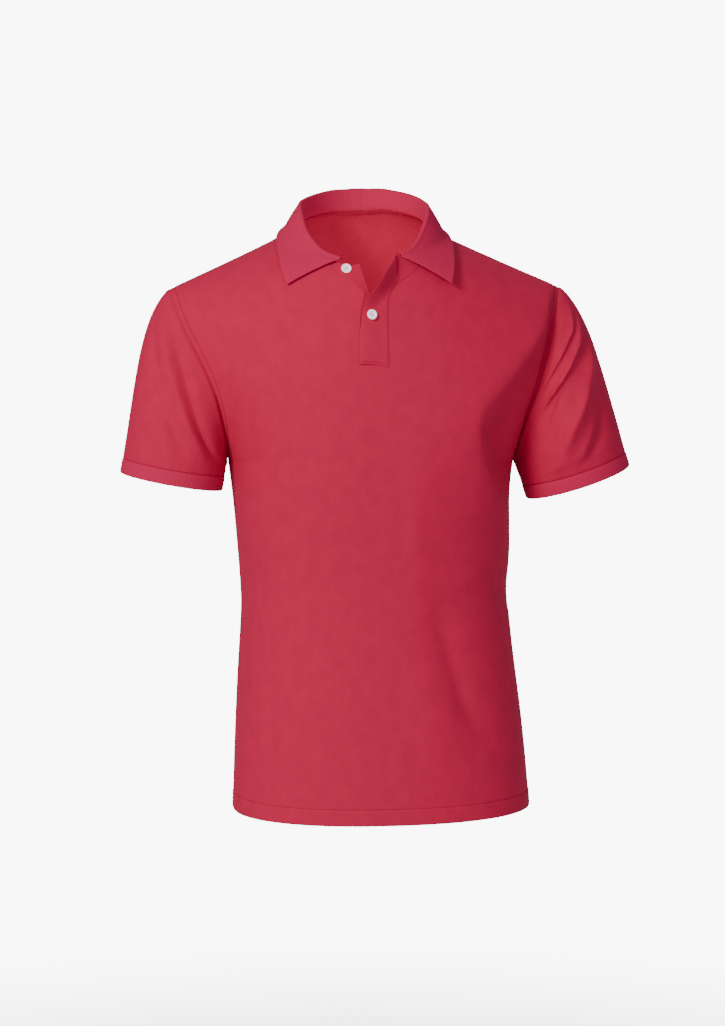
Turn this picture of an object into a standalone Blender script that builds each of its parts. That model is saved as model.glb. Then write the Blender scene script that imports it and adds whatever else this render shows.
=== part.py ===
"""Polo shirt in the shape it has when worn, with nobody in it.

Short sleeves with ribbed cuffs, a folded flat-knit collar and a two-button placket that lies open at the top.
Metres, +Z up, the front faces -Y, +X is the viewer's right. The origin lies midway between the two points
where the shoulder seams meet the neck, which is where a wearer's shoulders hold the shirt up.
"""
import math

import bmesh
import bpy
import numpy as np
from mathutils import Vector
from mathutils.bvhtree import BVHTree

# Cloth and seams
CLOTH = 0.0016           # knit fabric of the body and sleeves
RIB = 0.0018             # flat-knit collar and cuffs
PLACKET = 0.0016         # doubled placket strips
SEAM = 0.0003            # gap between two sewn pieces
HEM_HEIGHT = 0.020       # turned-up hem
HEM_EXTRA = 0.0010       # what the turning adds to the wall

# The body: each row runs round half the shirt, from the middle to the side seam or the armhole.
# The rows go up the front, over the shoulder and down the back. "turn" is how far the row has rounded
# at its edge, in degrees: 90 is a full quarter of the girth.
ROW_NAMES = ("mid_x", "mid_y", "mid_z", "left_x", "right_x", "edge_y", "edge_z", "turn")
BODY_ROWS = (
    # mid_x   mid_y    mid_z    left_x   right_x  edge_y   edge_z   turn
    (0.0200, -0.122, -0.7050, -0.1590, 0.2050, 0.000, -0.7050, 90),
    (0.0160, -0.121, -0.6030, -0.1555, 0.1955, 0.000, -0.6030, 90),
    (0.0110, -0.119, -0.5240, -0.1515, 0.1845, 0.000, -0.5240, 90),
    (0.0080, -0.118, -0.4500, -0.1475, 0.1765, 0.000, -0.4500, 90),
    (0.0050, -0.122, -0.3860, -0.1515, 0.1745, 0.000, -0.3860, 90),
    (0.0020, -0.129, -0.3200, -0.1565, 0.1765, 0.000, -0.3260, 90),
    (0.0000, -0.132, -0.2600, -0.1625, 0.1825, 0.000, -0.2780, 90),
    (0.0000, -0.132, -0.2250, -0.1655, 0.1850, -0.030, -0.2600, 82),
    (0.0000, -0.128, -0.1650, -0.1730, 0.1914, -0.054, -0.2230, 70),
    (0.0000, -0.117, -0.1050, -0.1830, 0.2040, -0.061, -0.1870, 60),
    (0.0000, -0.098, -0.0480, -0.2010, 0.2145, -0.054, -0.1470, 50),
    (0.0000, -0.076, -0.0155, -0.2201, 0.2250, -0.038, -0.1090, 38),
    (0.0000, -0.043, 0.0060, -0.2280, 0.2350, -0.018, -0.0840, 24),
    (0.0000, 0.006, 0.0370, -0.2300, 0.2385, 0.006, -0.0718, 10),
    (0.0000, 0.043, 0.0310, -0.2290, 0.2365, 0.026, -0.0820, 24),
    (0.0000, 0.069, 0.0120, -0.2235, 0.2290, 0.044, -0.1070, 38),
    (0.0000, 0.095, -0.0350, -0.2110, 0.2180, 0.058, -0.1450, 50),
    (0.0000, 0.114, -0.0950, -0.1970, 0.2070, 0.064, -0.1870, 60),
    (0.0000, 0.122, -0.1550, -0.1830, 0.1950, 0.057, -0.2230, 70),
    (0.0000, 0.124, -0.2150, -0.1690, 0.1870, 0.032, -0.2600, 82),
    (0.0000, 0.122, -0.2560, -0.1625, 0.1825, 0.000, -0.2780, 90),
    (0.0020, 0.116, -0.3200, -0.1565, 0.1765, 0.000, -0.3260, 90),
    (0.0050, 0.109, -0.3860, -0.1515, 0.1745, 0.000, -0.3860, 90),
    (0.0080, 0.105, -0.4500, -0.1475, 0.1765, 0.000, -0.4500, 90),
    (0.0110, 0.110, -0.5240, -0.1515, 0.1845, 0.000, -0.5240, 90),
    (0.0160, 0.116, -0.6030, -0.1555, 0.1955, 0.000, -0.6030, 90),
    (0.0200, 0.119, -0.7050, -0.1590, 0.2050, 0.000, -0.7050, 90),
)
FRONT_UNDERARM = 6
SHOULDER = 13
BACK_UNDERARM = 20
BACK_HEM = 26
BOXY = 2.25              # 2 is an ellipse, more is squarer
SHOULDER_BOW = 0.80      # below 1 the shoulder line sags between the neck and the armhole
EASE = 0.7               # rows over which the table's bends run into each other

# The neckline is an ellipse in plan
NECK_HALF_WIDTH = 0.080
NECK_HALF_DEPTH = 0.0785
NECK_MIDDLE_Y = -0.0135
# How far the cloth stands up round the back and sides of the neck: in the middle, and at the viewer's left and
# right, reached at the first x, kept to the second and gone by the third, and the same by rows
NECK_RISE = (0.0025, 0.0075, 0.0092)
NECK_RISE_X = (0.036, 0.078, 0.108)
NECK_RISE_ROWS = (11.3, 12.8, 14.9, 16.5)

# The placket, by the height of the row at the front's middle
PLACKET_NAMES = ("height", "under_seam", "under_edge", "over_edge", "over_seam")
PLACKET_ROWS = (
    # height  under_seam under_edge over_edge over_seam
    (-0.172, -0.0170, 0.0145, -0.0176, 0.0170),
    (-0.120, -0.0170, 0.0110, -0.0169, 0.0170),
    (-0.106, -0.0160, 0.0070, -0.0148, 0.0170),
    (-0.092, -0.0145, 0.0025, -0.0115, 0.0170),
    (-0.081, -0.0115, -0.0010, -0.0058, 0.0175),
    (-0.073, -0.0095, -0.0037, 0.0008, 0.0195),
    (-0.065, -0.0160, -0.0063, 0.0068, 0.0235),
    (-0.055, -0.0260, -0.0090, 0.0120, 0.0310),
    (-0.042, -0.0400, -0.0122, 0.0202, 0.0440),
    (-0.028, -0.0480, -0.0155, 0.0280, 0.0560),
)
WINDOW_FOOT = -0.153     # lower end of the slit in the front
PLACKET_FOOT = -0.157    # lower end of the strip sewn over it
PLACKET_SLANT = 0.0050   # how much lower its right end is than its left
PLACKET_LAP = 0.0015     # how far a strip laps on the cloth beside the slit
PLACKET_LIFT = 0.0008    # between a strip and the cloth it laps on

# How far the open top stands towards the viewer at its free edge, and how much of the strip's width that turns
OPEN_NAMES = ("height", "over", "over_width", "under")
OPEN_ROWS = (
    # height  over    over_width under
    (-0.172, 0.0000, 0.30, 0.0000),
    (-0.118, 0.0000, 0.30, 0.0000),
    (-0.100, 0.0012, 0.38, 0.0000),
    (-0.090, 0.0045, 0.50, 0.0000),
    (-0.075, 0.0100, 0.85, 0.0000),
    (-0.058, 0.0135, 0.95, -0.0006),
    (-0.044, 0.0090, 0.54, -0.0014),
    (-0.028, 0.0026, 0.30, -0.0016),
)
OPEN_CURVE = 1.3
# The open corners stand above the neckline: by how many rows, and over what share of the strip's width
UNDER_CORNER = (0.22, 0.55)
OVER_CORNER = (0.12, 0.22)

# Sleeves: side is -1 for the viewer's left
SLEEVE_NAMES = ("side", "cuff_in_x", "cuff_in_z", "cuff_out_x", "cuff_out_z", "cuff_y", "cuff_depth")
SLEEVE_ROWS = (
    # side cuff_in_x cuff_in_z cuff_out_x cuff_out_z cuff_y cuff_depth
    (-1, -0.1705, -0.3135, -0.2920, -0.2910, -0.012, 0.058),
    (1, 0.1990, -0.3290, 0.3240, -0.2885, -0.012, 0.060),
)
CUFF_WIDTH = 0.017
# How a sleeve leaves the armhole and comes to the cuff, at the underarm and what the shoulder adds
LEAVE_SIDEWAYS = (0.25, 0.55)
LEAVE_FORWARD = 0.25
LEAVE_DOWN = (0.95, -0.35)
LEAVE_LENGTH = (0.012, 0.034)
ARRIVE_LENGTH = (0.012, 0.075)
ARRIVE_FRONT = 0.020     # added in front and behind
SLEEVE_GIRTH = 0.40      # for its folds: the way round and the way along
SLEEVE_LENGTH = 0.20
SLEEVE_FADE = 0.12       # share of the length that is free of folds at each end

# Folds on the body: a line from a to b seen from the front, its half width and its depth (a ridge is positive)
FOLD_NAMES = ("panel", "ax", "az", "bx", "bz", "width", "depth")
BODY_FOLDS = (
    # panel   ax      az      bx      bz     width   depth
    ("front", 0.190, -0.138, 0.132, -0.214, 0.044, 0.0110),
    ("front", 0.122, -0.262, 0.150, -0.350, 0.036, 0.0090),
    ("front", 0.163, -0.200, 0.166, -0.340, 0.020, -0.0050),
    ("front", 0.072, -0.480, 0.150, -0.640, 0.017, -0.0060),
    ("front", 0.045, -0.500, 0.098, -0.660, 0.020, 0.0030),
    ("front", -0.112, -0.385, -0.142, -0.440, 0.009, -0.0035),
    ("front", -0.170, -0.150, -0.120, -0.300, 0.018, -0.0030),
    ("back", 0.150, -0.170, 0.060, -0.330, 0.022, -0.0070),
    ("back", -0.150, -0.170, -0.055, -0.340, 0.020, -0.0065),
    ("back", -0.100, -0.470, 0.020, -0.560, 0.020, -0.0050),
    ("back", 0.120, -0.420, 0.030, -0.520, 0.018, -0.0045),
)
EDGE_FADE = 0.12         # share of a row's width at its edge that the folds leave alone
SHOULDER_FADE = 1.5      # rows beside the shoulder seam that they leave alone

# Folds on a sleeve: round is 0 at the underarm, 0.25 in front, 0.5 on the outside, 0.75 behind
SLEEVE_FOLD_NAMES = ("side", "round_a", "along_a", "round_b", "along_b", "width", "depth")
SLEEVE_FOLDS = (
    # side round_a along_a round_b along_b width depth
    (-1, 0.36, 0.10, 0.14, 0.60, 0.012, -0.0045),
    (-1, 0.44, 0.20, 0.22, 0.75, 0.012, -0.0040),
    (-1, 0.40, 0.12, 0.18, 0.68, 0.008, 0.0025),
    (-1, 0.62, 0.15, 0.86, 0.70, 0.012, -0.0040),
    (1, 0.34, 0.20, 0.25, 0.85, 0.040, 0.0070),
    (1, 0.42, 0.25, 0.22, 0.30, 0.011, 0.0050),
    (1, 0.42, 0.43, 0.22, 0.85, 0.018, 0.0075),
    (1, 0.37, 0.72, 0.27, 0.93, 0.013, -0.0045),
    (1, 0.62, 0.15, 0.86, 0.70, 0.012, -0.0045),
)

# The collar: angle runs round the neck from the middle of the back, below 0 on the viewer's left; the leaf's
# free edge is a point in space
COLLAR_NAMES = ("angle", "stand", "edge_x", "edge_y", "edge_z")
COLLAR_ROWS = (
    # angle stand  edge_x   edge_y   edge_z
    (-154, 0.0025, -0.0970, -0.0820, -0.0670),
    (-146, 0.0028, -0.0988, -0.0745, -0.0610),
    (-138, 0.0042, -0.1000, -0.0660, -0.0550),
    (-125, 0.0100, -0.1020, -0.0480, -0.0400),
    (-110, 0.0158, -0.1030, -0.0250, -0.0260),
    (-100, 0.0198, -0.1022, -0.0100, -0.0195),
    (-90, 0.0236, -0.1000, 0.0050, -0.0150),
    (-75, 0.0238, -0.0935, 0.0265, -0.0118),
    (-60, 0.0228, -0.0850, 0.0460, -0.0100),
    (-45, 0.0220, -0.0690, 0.0645, -0.0082),
    (-30, 0.0217, -0.0500, 0.0790, -0.0070),
    (-15, 0.0222, -0.0255, 0.0865, -0.0062),
    (0, 0.0226, 0.0000, 0.0890, -0.0060),
    (15, 0.0220, 0.0255, 0.0865, -0.0062),
    (30, 0.0212, 0.0500, 0.0790, -0.0070),
    (45, 0.0218, 0.0690, 0.0645, -0.0082),
    (60, 0.0222, 0.0850, 0.0460, -0.0100),
    (75, 0.0219, 0.0935, 0.0265, -0.0118),
    (90, 0.0238, 0.1000, 0.0050, -0.0150),
    (100, 0.0262, 0.1022, -0.0100, -0.0195),
    (110, 0.0240, 0.1022, -0.0250, -0.0265),
    (125, 0.0172, 0.0988, -0.0480, -0.0415),
    (138, 0.0095, 0.0942, -0.0660, -0.0585),
    (146, 0.0062, 0.0912, -0.0745, -0.0670),
    (154, 0.0044, 0.0884, -0.0820, -0.0750),
)
COLLAR_END = 154
FOLD_RADIUS = 0.0022
STAND_LEAN = 0.0060      # how far the stand leans into the neck
LEAF_BULGE = 0.0035      # how far the leaf bows out between the fold and its free edge
COLLAR_GAP = 0.0012      # the panels' edges run straight between points, a little inside the round neckline
LEAF_CLEAR = 0.0036      # from the body's outside to the middle of the leaf
RIGHT_LIFT = 0.0080      # how far the viewer's right leaf stands off the chest at its front end
LIFT_FROM = 105          # the angle where it begins to

# Buttons
BUTTON_WIDTH = 0.0120
BUTTON_HEIGHT = 0.0026
BUTTON_HOLE = 0.0018
BUTTON_HOLE_CIRCLE = 0.0036
BUTTONS = (
    # node, x, height of the row, how far out from the front's outside, lean to the right, lean up, turn in degrees
    ("button_top", -0.0297, -0.0390, -0.0018, 0.24, 0.05, 20),
    ("button_lower", -0.0028, -0.1001, 0.0041, 0.30, 0.08, 38),
)

# Looks: colour, roughness and metallic value
KNIT = ((0.52, 0.035, 0.075), 0.85, 0.0)
RIBBED = ((0.58, 0.06, 0.11), 0.88, 0.0)
SHELL = ((0.86, 0.82, 0.82), 0.30, 0.0)

# Mesh steps
BODY_STEPS = 12          # rows from hem to underarm, without the hem's own two
FRONT_STOPS = (6, 6.25, 6.6, 7.2, 7.8)                                   # underarm to the placket's foot
PLACKET_STOPS = (8.6, 9.1, 9.5, 9.8, 10.1, 10.5)                         # up to where the seams meet the neck
FRONT_TOP_STOPS = (11.5, 11.9, 12.3, 12.65, 13)
BACK_STOPS = (20, 19.75, 19.4, 18.8, 18.1, 17.4, 16.8, 16.3)             # underarm to below the neck
NECK_STEPS = 8           # back rows from the neckline's lowest point to the shoulder
SIDE_STEPS = 12          # columns from the placket window to the side
WINDOW_STEPS = 3
OVER_STEPS = (16, 6)     # the over strip's steps up and across
UNDER_STEPS = (14, 5)
SLEEVE_STEPS = 11
COLLAR_STEPS = 17        # stations on each side of the collar
LEAF_STEPS = 5
BUTTON_STEPS = 20


def column(table, names, name):
    """One named column of a table, as an array."""
    return np.array([row[names.index(name)] for row in table], dtype=float)


def unit(vectors):
    return vectors / np.linalg.norm(vectors, axis=-1, keepdims=True)


def smooth(knots, values, at):
    """A smooth curve through the values that never overshoots them."""
    knots = np.asarray(knots, dtype=float)
    values = np.asarray(values, dtype=float)
    at = np.asarray(at, dtype=float)
    steps = np.diff(knots)
    slopes = np.diff(values) / steps
    tangents = np.empty_like(values)
    tangents[0] = slopes[0]
    tangents[-1] = slopes[-1]
    for k in range(1, len(values) - 1):
        before = slopes[k - 1]
        after = slopes[k]
        tangents[k] = 0.0 if before * after <= 0 else 2 * before * after / (before + after)
    index = np.clip(np.searchsorted(knots, at, side="right") - 1, 0, len(knots) - 2)
    step = steps[index]
    part = (at - knots[index]) / step
    rise = part * part * (3 - 2 * part)
    start = part * (1 - part) ** 2 * step
    stop = -part * part * (1 - part) * step
    return (values[index] * (1 - rise) + values[index + 1] * rise
            + tangents[index] * start + tangents[index + 1] * stop)


def eased(knots, values, at, low, high):
    """The smooth curve averaged over a short stretch, so that its bends run into each other."""
    reach = np.minimum(EASE, np.minimum(at - low, high - at))
    total = 0
    for share, weight in ((-1, 1), (-0.5, 4), (0, 6), (0.5, 4), (1, 1)):
        total = total + weight * smooth(knots, values, at + share * reach)
    return total / 16


def body_value(name, row):
    """A column of the body's table at any row; the edge may turn a corner at the underarm."""
    values = column(BODY_ROWS, ROW_NAMES, name)
    row = np.asarray(row, dtype=float)
    if name in ("mid_x", "mid_y", "mid_z", "turn"):
        return eased(range(len(values)), values, row, 0, BACK_HEM)
    corners = (0, FRONT_UNDERARM, BACK_UNDERARM, BACK_HEM)
    result = np.zeros_like(row)
    for low, high in zip(corners[:-1], corners[1:]):
        inside = (row >= low) & (row <= high)
        part = eased(range(low, high + 1), values[low:high + 1], np.clip(row, low, high), low, high)
        result = np.where(inside, part, result)
    return result


def fall(sine):
    """How far a squarish ellipse has fallen back where its sideways reach is this sine."""
    return 1 - np.maximum(1 - sine ** BOXY, 0) ** (1 / BOXY)


def across_at(row, side, x):
    """Where on a row, from 0 in the middle to 1 at the edge, the shirt is at x."""
    middle = body_value("mid_x", row)
    edge = body_value("right_x" if side > 0 else "left_x", row)
    turn = np.radians(body_value("turn", row))
    sine = np.clip((x - middle) / (edge - middle), -1, 1) * np.sin(turn)
    return np.arcsin(sine) / turn


def ramp(value, low, high):
    """0 up to low and 1 from high on, with a soft start and stop."""
    part = np.clip((value - low) / (high - low), 0, 1)
    return part * part * (3 - 2 * part)


def neck_rise(row, side, x):
    """How far the cloth stands up beside the neck."""
    x = np.abs(x)
    middle = NECK_RISE[0]
    height = middle + (NECK_RISE[2 if side > 0 else 1] - middle) * ramp(x, 0, NECK_RISE_X[0])
    start, full, kept, gone = NECK_RISE_ROWS
    return height * (1 - ramp(x, *NECK_RISE_X[1:])) * ramp(row, start, full) * (1 - ramp(row, kept, gone))


def body_form(row, side, across):
    """The body's outside without its folds: row counts the table's rows."""
    row, across = np.broadcast_arrays(np.asarray(row, float), np.asarray(across, float))
    middle = np.stack([body_value(name, row) for name in ("mid_x", "mid_y", "mid_z")], axis=-1)
    edge_x = body_value("right_x" if side > 0 else "left_x", row)
    turn = np.radians(body_value("turn", row))
    sine = np.sin(np.abs(across) * turn) * np.sign(across)
    reach = sine / np.sin(turn)
    drop = fall(np.abs(sine)) / fall(np.sin(turn))
    slope = np.abs(reach) ** (SHOULDER_BOW + turn / math.radians(90))
    x = middle[..., 0] + (edge_x - middle[..., 0]) * reach
    y = middle[..., 1] + (body_value("edge_y", row) - middle[..., 1]) * drop
    z = middle[..., 2] + (body_value("edge_z", row) - middle[..., 2]) * slope + neck_rise(row, side, x)
    return np.stack([x, y, z], axis=-1)


def body_normal(row, side, across):
    """The outward direction of the body's outside."""
    step = 0.004
    row = np.clip(row, step, BACK_HEM - step)
    across = np.minimum(across, 1 - step)
    along = body_form(row + step, side, across) - body_form(row - step, side, across)
    sideways = body_form(row, side, across + step) - body_form(row, side, across - step)
    return unit(np.cross(sideways, along)) * side


def line_fold(px, pz, fold_ends, width):
    """1 on a straight fold, falling to 0 beside it and beyond its ends."""
    ax, az, bx, bz = fold_ends
    length = math.hypot(bx - ax, bz - az)
    along = ((px - ax) * (bx - ax) + (pz - az) * (bz - az)) / length
    aside = ((px - ax) * (bz - az) - (pz - az) * (bx - ax)) / length
    beyond = along - np.clip(along, 0.25 * length, 0.75 * length)
    return np.exp(-(aside / width) ** 2 - (beyond / (0.25 * length)) ** 2)


def body_points(row, side, across):
    """The body's outside with its folds, and its outward directions."""
    points = body_form(row, side, across)
    normals = body_normal(row, side, across)
    row = np.broadcast_to(row, points.shape[:-1])
    across = np.broadcast_to(across, points.shape[:-1])
    fade = np.clip((1 - across) / EDGE_FADE, 0, 1) * np.clip(np.abs(row - SHOULDER) / SHOULDER_FADE, 0, 1)
    height = np.zeros(points.shape[:-1])
    for values in BODY_FOLDS:
        fold = dict(zip(FOLD_NAMES, values))
        on_panel = (row <= SHOULDER) == (fold["panel"] == "front")
        ends = (fold["ax"], fold["az"], fold["bx"], fold["bz"])
        lift = fold["depth"] * line_fold(points[..., 0], points[..., 2], ends, fold["width"])
        height = height + np.where(on_panel, lift, 0)
    return points + normals * (height * fade)[..., None], normals


def neck_distance(points):
    """Below 0 inside the neckline seen from above."""
    return (points[..., 0] / NECK_HALF_WIDTH) ** 2 + ((points[..., 1] - NECK_MIDDLE_Y) / NECK_HALF_DEPTH) ** 2 - 1


def bisect(function, low, high):
    """Where an array of functions changes sign."""
    low = np.array(low, dtype=float)
    high = np.array(high, dtype=float)
    for _ in range(40):
        middle = (low + high) / 2
        inside = function(middle) < 0
        low = np.where(inside, middle, low)
        high = np.where(inside, high, middle)
    return (low + high) / 2


def neck_across(row, side):
    """Where each row meets the neckline, or 0 if it passes below it."""
    row = np.asarray(row, dtype=float)
    crosses = neck_distance(body_form(row, side, np.zeros_like(row))) < 0
    found = bisect(lambda across: neck_distance(body_form(row, side, across)), np.zeros_like(row),
                   np.full_like(row, 0.9))
    return np.where(crosses, found, 0)


def row_at_height(height):
    """The front row whose middle is at this height."""
    return bisect(lambda row: body_value("mid_z", row) - height, np.zeros_like(height),
                  np.full_like(height, SHOULDER))


def front_form_at(rows, x):
    """The front's points, without folds, where its rows are at x."""
    left = body_form(rows, -1, across_at(rows, -1, x))
    right = body_form(rows, 1, across_at(rows, 1, x))
    return np.where((x < body_value("mid_x", rows))[..., None], left, right)


def placket_value(name, row):
    heights = column(PLACKET_ROWS, PLACKET_NAMES, "height")
    values = column(PLACKET_ROWS, PLACKET_NAMES, name)
    height = np.clip(body_value("mid_z", row), heights[0], heights[-1])
    return smooth(heights, values, height)


def open_value(name, row):
    heights = column(OPEN_ROWS, OPEN_NAMES, "height")
    height = np.clip(body_value("mid_z", row), heights[0], heights[-1])
    return smooth(heights, column(OPEN_ROWS, OPEN_NAMES, name), height)


def over_lift(rows, share):
    """How far the over strip's free edge, at share 0, stands up off the chest where the neck is open."""
    left = np.clip(1 - share / open_value("over_width", rows), 0, 1)
    return open_value("over", rows) * left ** OPEN_CURVE


def under_lift(rows, share):
    """How far the under strip's free edge, at share 1, sinks where the neck is open."""
    return open_value("under", rows) * share ** OPEN_CURVE


def neck_row(outside):
    """The row whose middle just touches the neckline, between the shoulder and a row outside the neck."""
    def distance(row):
        return neck_distance(body_form(row, 1, np.zeros_like(row)))
    return float(bisect(distance, np.array(SHOULDER), np.array(outside)))


def low_rows(hem_row, underarm):
    """Rows from the hem to the underarm; the first two are the turned hem."""
    turned = row_at_height(np.array(BODY_ROWS[0][ROW_NAMES.index("mid_z")] + HEM_HEIGHT))
    turned = abs(hem_row - turned)
    return np.concatenate([[hem_row, turned], np.linspace(turned, underarm, BODY_STEPS + 1)[1:-1]])


def seam_top_row(seam):
    """The row where a placket seam meets the neckline."""
    def inside(row):
        return -neck_distance(front_form_at(row, placket_value(seam, row)))
    return float(bisect(inside, np.array(FRONT_UNDERARM), np.array(SHOULDER)))


def front_armhole_rows():
    foot = float(row_at_height(np.array(WINDOW_FOOT)))
    tops = tuple(sorted(seam_top_row(seam) for seam in ("under_seam", "over_seam")))
    return np.array(FRONT_STOPS + (foot,) + PLACKET_STOPS + tops + FRONT_TOP_STOPS)


def back_armhole_rows():
    """Rows from the underarm to the shoulder, closest where the neckline is level."""
    lowest = neck_row(BACK_UNDERARM)
    part = np.linspace(0, 1, NECK_STEPS + 1)
    rising = lowest + (SHOULDER - lowest) * (1 - np.cos(part * math.pi / 2))
    return np.concatenate([BACK_STOPS, rising])


def sleeve_ring(side):
    """The armhole: underarm, up the front, over the shoulder, down the back; the last point is the first."""
    rows = np.concatenate([front_armhole_rows(), back_armhole_rows()[::-1][1:]])
    return body_form(rows, side, np.ones_like(rows)), body_normal(rows, side, np.ones_like(rows))


def sleeve_values(side):
    row = next(row for row in SLEEVE_ROWS if row[0] == side)
    return dict(zip(SLEEVE_NAMES, row))


def cuff_frame(side):
    """The cuff's lower end: its centre, its half widths and the sleeve's direction there."""
    size = sleeve_values(side)
    inner = np.array([size["cuff_in_x"], size["cuff_y"], size["cuff_in_z"]])
    outer = np.array([size["cuff_out_x"], size["cuff_y"], size["cuff_out_z"]])
    outward = outer - inner
    half_width = np.linalg.norm(outward) / 2
    outward = outward / (2 * half_width)
    forward = np.array([0.0, -1.0, 0.0])
    down = np.cross(outward, forward) * side
    return (inner + outer) / 2, outward * half_width, forward * size["cuff_depth"], down


def round_share(points):
    """Each ring point's share of the way round, by length, with the shoulder at a half."""
    steps = np.linalg.norm(np.diff(points, axis=0), axis=1)
    half = len(front_armhole_rows()) - 1
    front = np.concatenate([[0], np.cumsum(steps[:half])])
    back = np.concatenate([[0], np.cumsum(steps[half:])])
    return np.concatenate([front / front[-1] * 0.5, 0.5 + back[1:] / back[-1] * 0.5])


def cuff_ring(side, share, raised):
    centre, outward, forward, down = cuff_frame(side)
    angle = 2 * math.pi * share
    ring = centre - np.cos(angle)[:, None] * outward + np.sin(angle)[:, None] * forward
    return ring - down * raised


def sleeve_form(side, along):
    """The sleeve's outside: one ring of points for each share of the way along it."""
    ring, _ = sleeve_ring(side)
    share = round_share(ring)
    end = cuff_ring(side, share, CUFF_WIDTH + SEAM)
    _, _, _, down = cuff_frame(side)
    top = (1 - np.cos(2 * math.pi * share)) / 2
    front = np.sin(2 * math.pi * share)
    leave = np.stack([side * (LEAVE_SIDEWAYS[0] + LEAVE_SIDEWAYS[1] * top), -LEAVE_FORWARD * front,
                      -LEAVE_DOWN[0] - LEAVE_DOWN[1] * top], axis=-1)
    leave = unit(leave) * (LEAVE_LENGTH[0] + LEAVE_LENGTH[1] * top)[:, None]
    arrive = down * (ARRIVE_LENGTH[0] + ARRIVE_LENGTH[1] * top + ARRIVE_FRONT * np.abs(front))[:, None]
    along = np.asarray(along)[:, None, None]
    return ((1 - along) ** 3 * ring + 3 * (1 - along) ** 2 * along * (ring + leave)
            + 3 * (1 - along) * along ** 2 * (end - arrive) + along ** 3 * end)


def grid_normals(points, wrap):
    """Directions square to a grid of points; wrap joins the last column to the first."""
    along = np.gradient(points, axis=0)
    if wrap:
        padded = np.concatenate([points[:, -2:-1], points, points[:, 1:2]], axis=1)
        across = (padded[:, 2:] - padded[:, :-2]) / 2
    else:
        across = np.gradient(points, axis=1)
    return unit(np.cross(across, along))


def sleeve_points(side, along):
    """The sleeve's outside with its folds, and its outward directions."""
    points = sleeve_form(side, along)
    normals = grid_normals(points, True) * -side
    share = round_share(sleeve_ring(side)[0])[None, :]
    girth = SLEEVE_GIRTH * share
    length = SLEEVE_LENGTH * np.asarray(along)[:, None]
    height = np.zeros(points.shape[:-1])
    for values in SLEEVE_FOLDS:
        fold = dict(zip(SLEEVE_FOLD_NAMES, values))
        if fold["side"] == side:
            ends = (fold["round_a"] * SLEEVE_GIRTH, fold["along_a"] * SLEEVE_LENGTH,
                    fold["round_b"] * SLEEVE_GIRTH, fold["along_b"] * SLEEVE_LENGTH)
            height = height + fold["depth"] * line_fold(girth, length, ends, fold["width"])
    fade = np.clip(np.asarray(along) / SLEEVE_FADE, 0, 1) * np.clip((1 - np.asarray(along)) / SLEEVE_FADE, 0, 1)
    return points + normals * (height * fade[:, None])[..., None], normals


def seam_directions(side):
    """Wall directions at the armhole, for the body and for the sleeve; they agree where the seam is smooth."""
    _, body = sleeve_ring(side)
    _, sleeve = sleeve_points(side, np.linspace(0, 1, SLEEVE_STEPS + 1))
    sleeve = sleeve[0]
    agreement = np.sum(body * sleeve, axis=1, keepdims=True)
    weight = np.clip((agreement - 0.2) / 0.5, 0, 1)
    shared = unit(body + sleeve + 1e-9)
    return unit(body * (1 - weight) + shared * weight), unit(sleeve * (1 - weight) + shared * weight)


def nudge(line, inner_line, distance):
    """Moves a line of points towards its neighbours."""
    return line + unit(inner_line - line) * distance


def make_wall(name, outer, inner, keep=None):
    """A closed wall between two grids of points; keep says which of the grid's faces are there."""
    rows, columns = outer.shape[:2]
    if keep is None:
        keep = np.ones((rows - 1, columns - 1), dtype=bool)
    mesh = bmesh.new()
    pairs = {}

    def pair(corner):
        """The outer and inner vertex of a grid corner; corners in the same place share them."""
        place = tuple(np.round(outer[corner], 7))
        if place not in pairs:
            pairs[place] = (mesh.verts.new(outer[corner]), mesh.verts.new(inner[corner]))
        return pairs[place]

    edges = {}
    for i, j in np.argwhere(keep):
        corners = []
        for corner in ((i, j), (i, j + 1), (i + 1, j + 1), (i + 1, j)):
            if pair(corner) not in corners:
                corners.append(pair(corner))
        if len(corners) < 3:
            continue
        mesh.faces.new([outside for outside, _ in corners])
        mesh.faces.new([inside for _, inside in reversed(corners)])
        for start, stop in zip(corners, corners[1:] + corners[:1]):
            edges[start, stop] = True
    for start, stop in edges:
        if (stop, start) not in edges:
            mesh.faces.new([stop[0], start[0], start[1], stop[1]])
    return finish_mesh(name, mesh)


def make_tube(name, outer, inner):
    """A closed wall round a tube; the first and last column of the grids are the same points."""
    rows = outer.shape[0]
    columns = outer.shape[1] - 1
    mesh = bmesh.new()
    outside = [[mesh.verts.new(outer[i, j]) for j in range(columns)] for i in range(rows)]
    inside = [[mesh.verts.new(inner[i, j]) for j in range(columns)] for i in range(rows)]
    for j in range(columns):
        k = (j + 1) % columns
        for i in range(rows - 1):
            mesh.faces.new([outside[i][j], outside[i][k], outside[i + 1][k], outside[i + 1][j]])
            mesh.faces.new([inside[i][j], inside[i + 1][j], inside[i + 1][k], inside[i][k]])
        mesh.faces.new([outside[0][k], outside[0][j], inside[0][j], inside[0][k]])
        mesh.faces.new([outside[-1][j], outside[-1][k], inside[-1][k], inside[-1][j]])
    return finish_mesh(name, mesh)


def finish_mesh(name, mesh):
    bmesh.ops.recalc_face_normals(mesh, faces=mesh.faces[:])
    data = bpy.data.meshes.new(name)
    mesh.to_mesh(data)
    mesh.free()
    data.shade_smooth()
    data.set_sharp_from_angle(angle=math.radians(50))
    return bpy.data.objects.new(name, data)


def half_panel(rows, side, start, armhole_from, armhole_directions):
    """One half of a panel: each row from its start to the side seam or the armhole."""
    part = np.linspace(0, 1, SIDE_STEPS + 1)[None, :]
    points, normals = body_points(rows[:, None], side, start[:, None] + (1 - start[:, None]) * part)
    normals[armhole_from:, -1] = armhole_directions
    points[:, -1] = nudge(points[:, -1], points[:, -2], SEAM / 2)
    return points, normals


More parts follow.
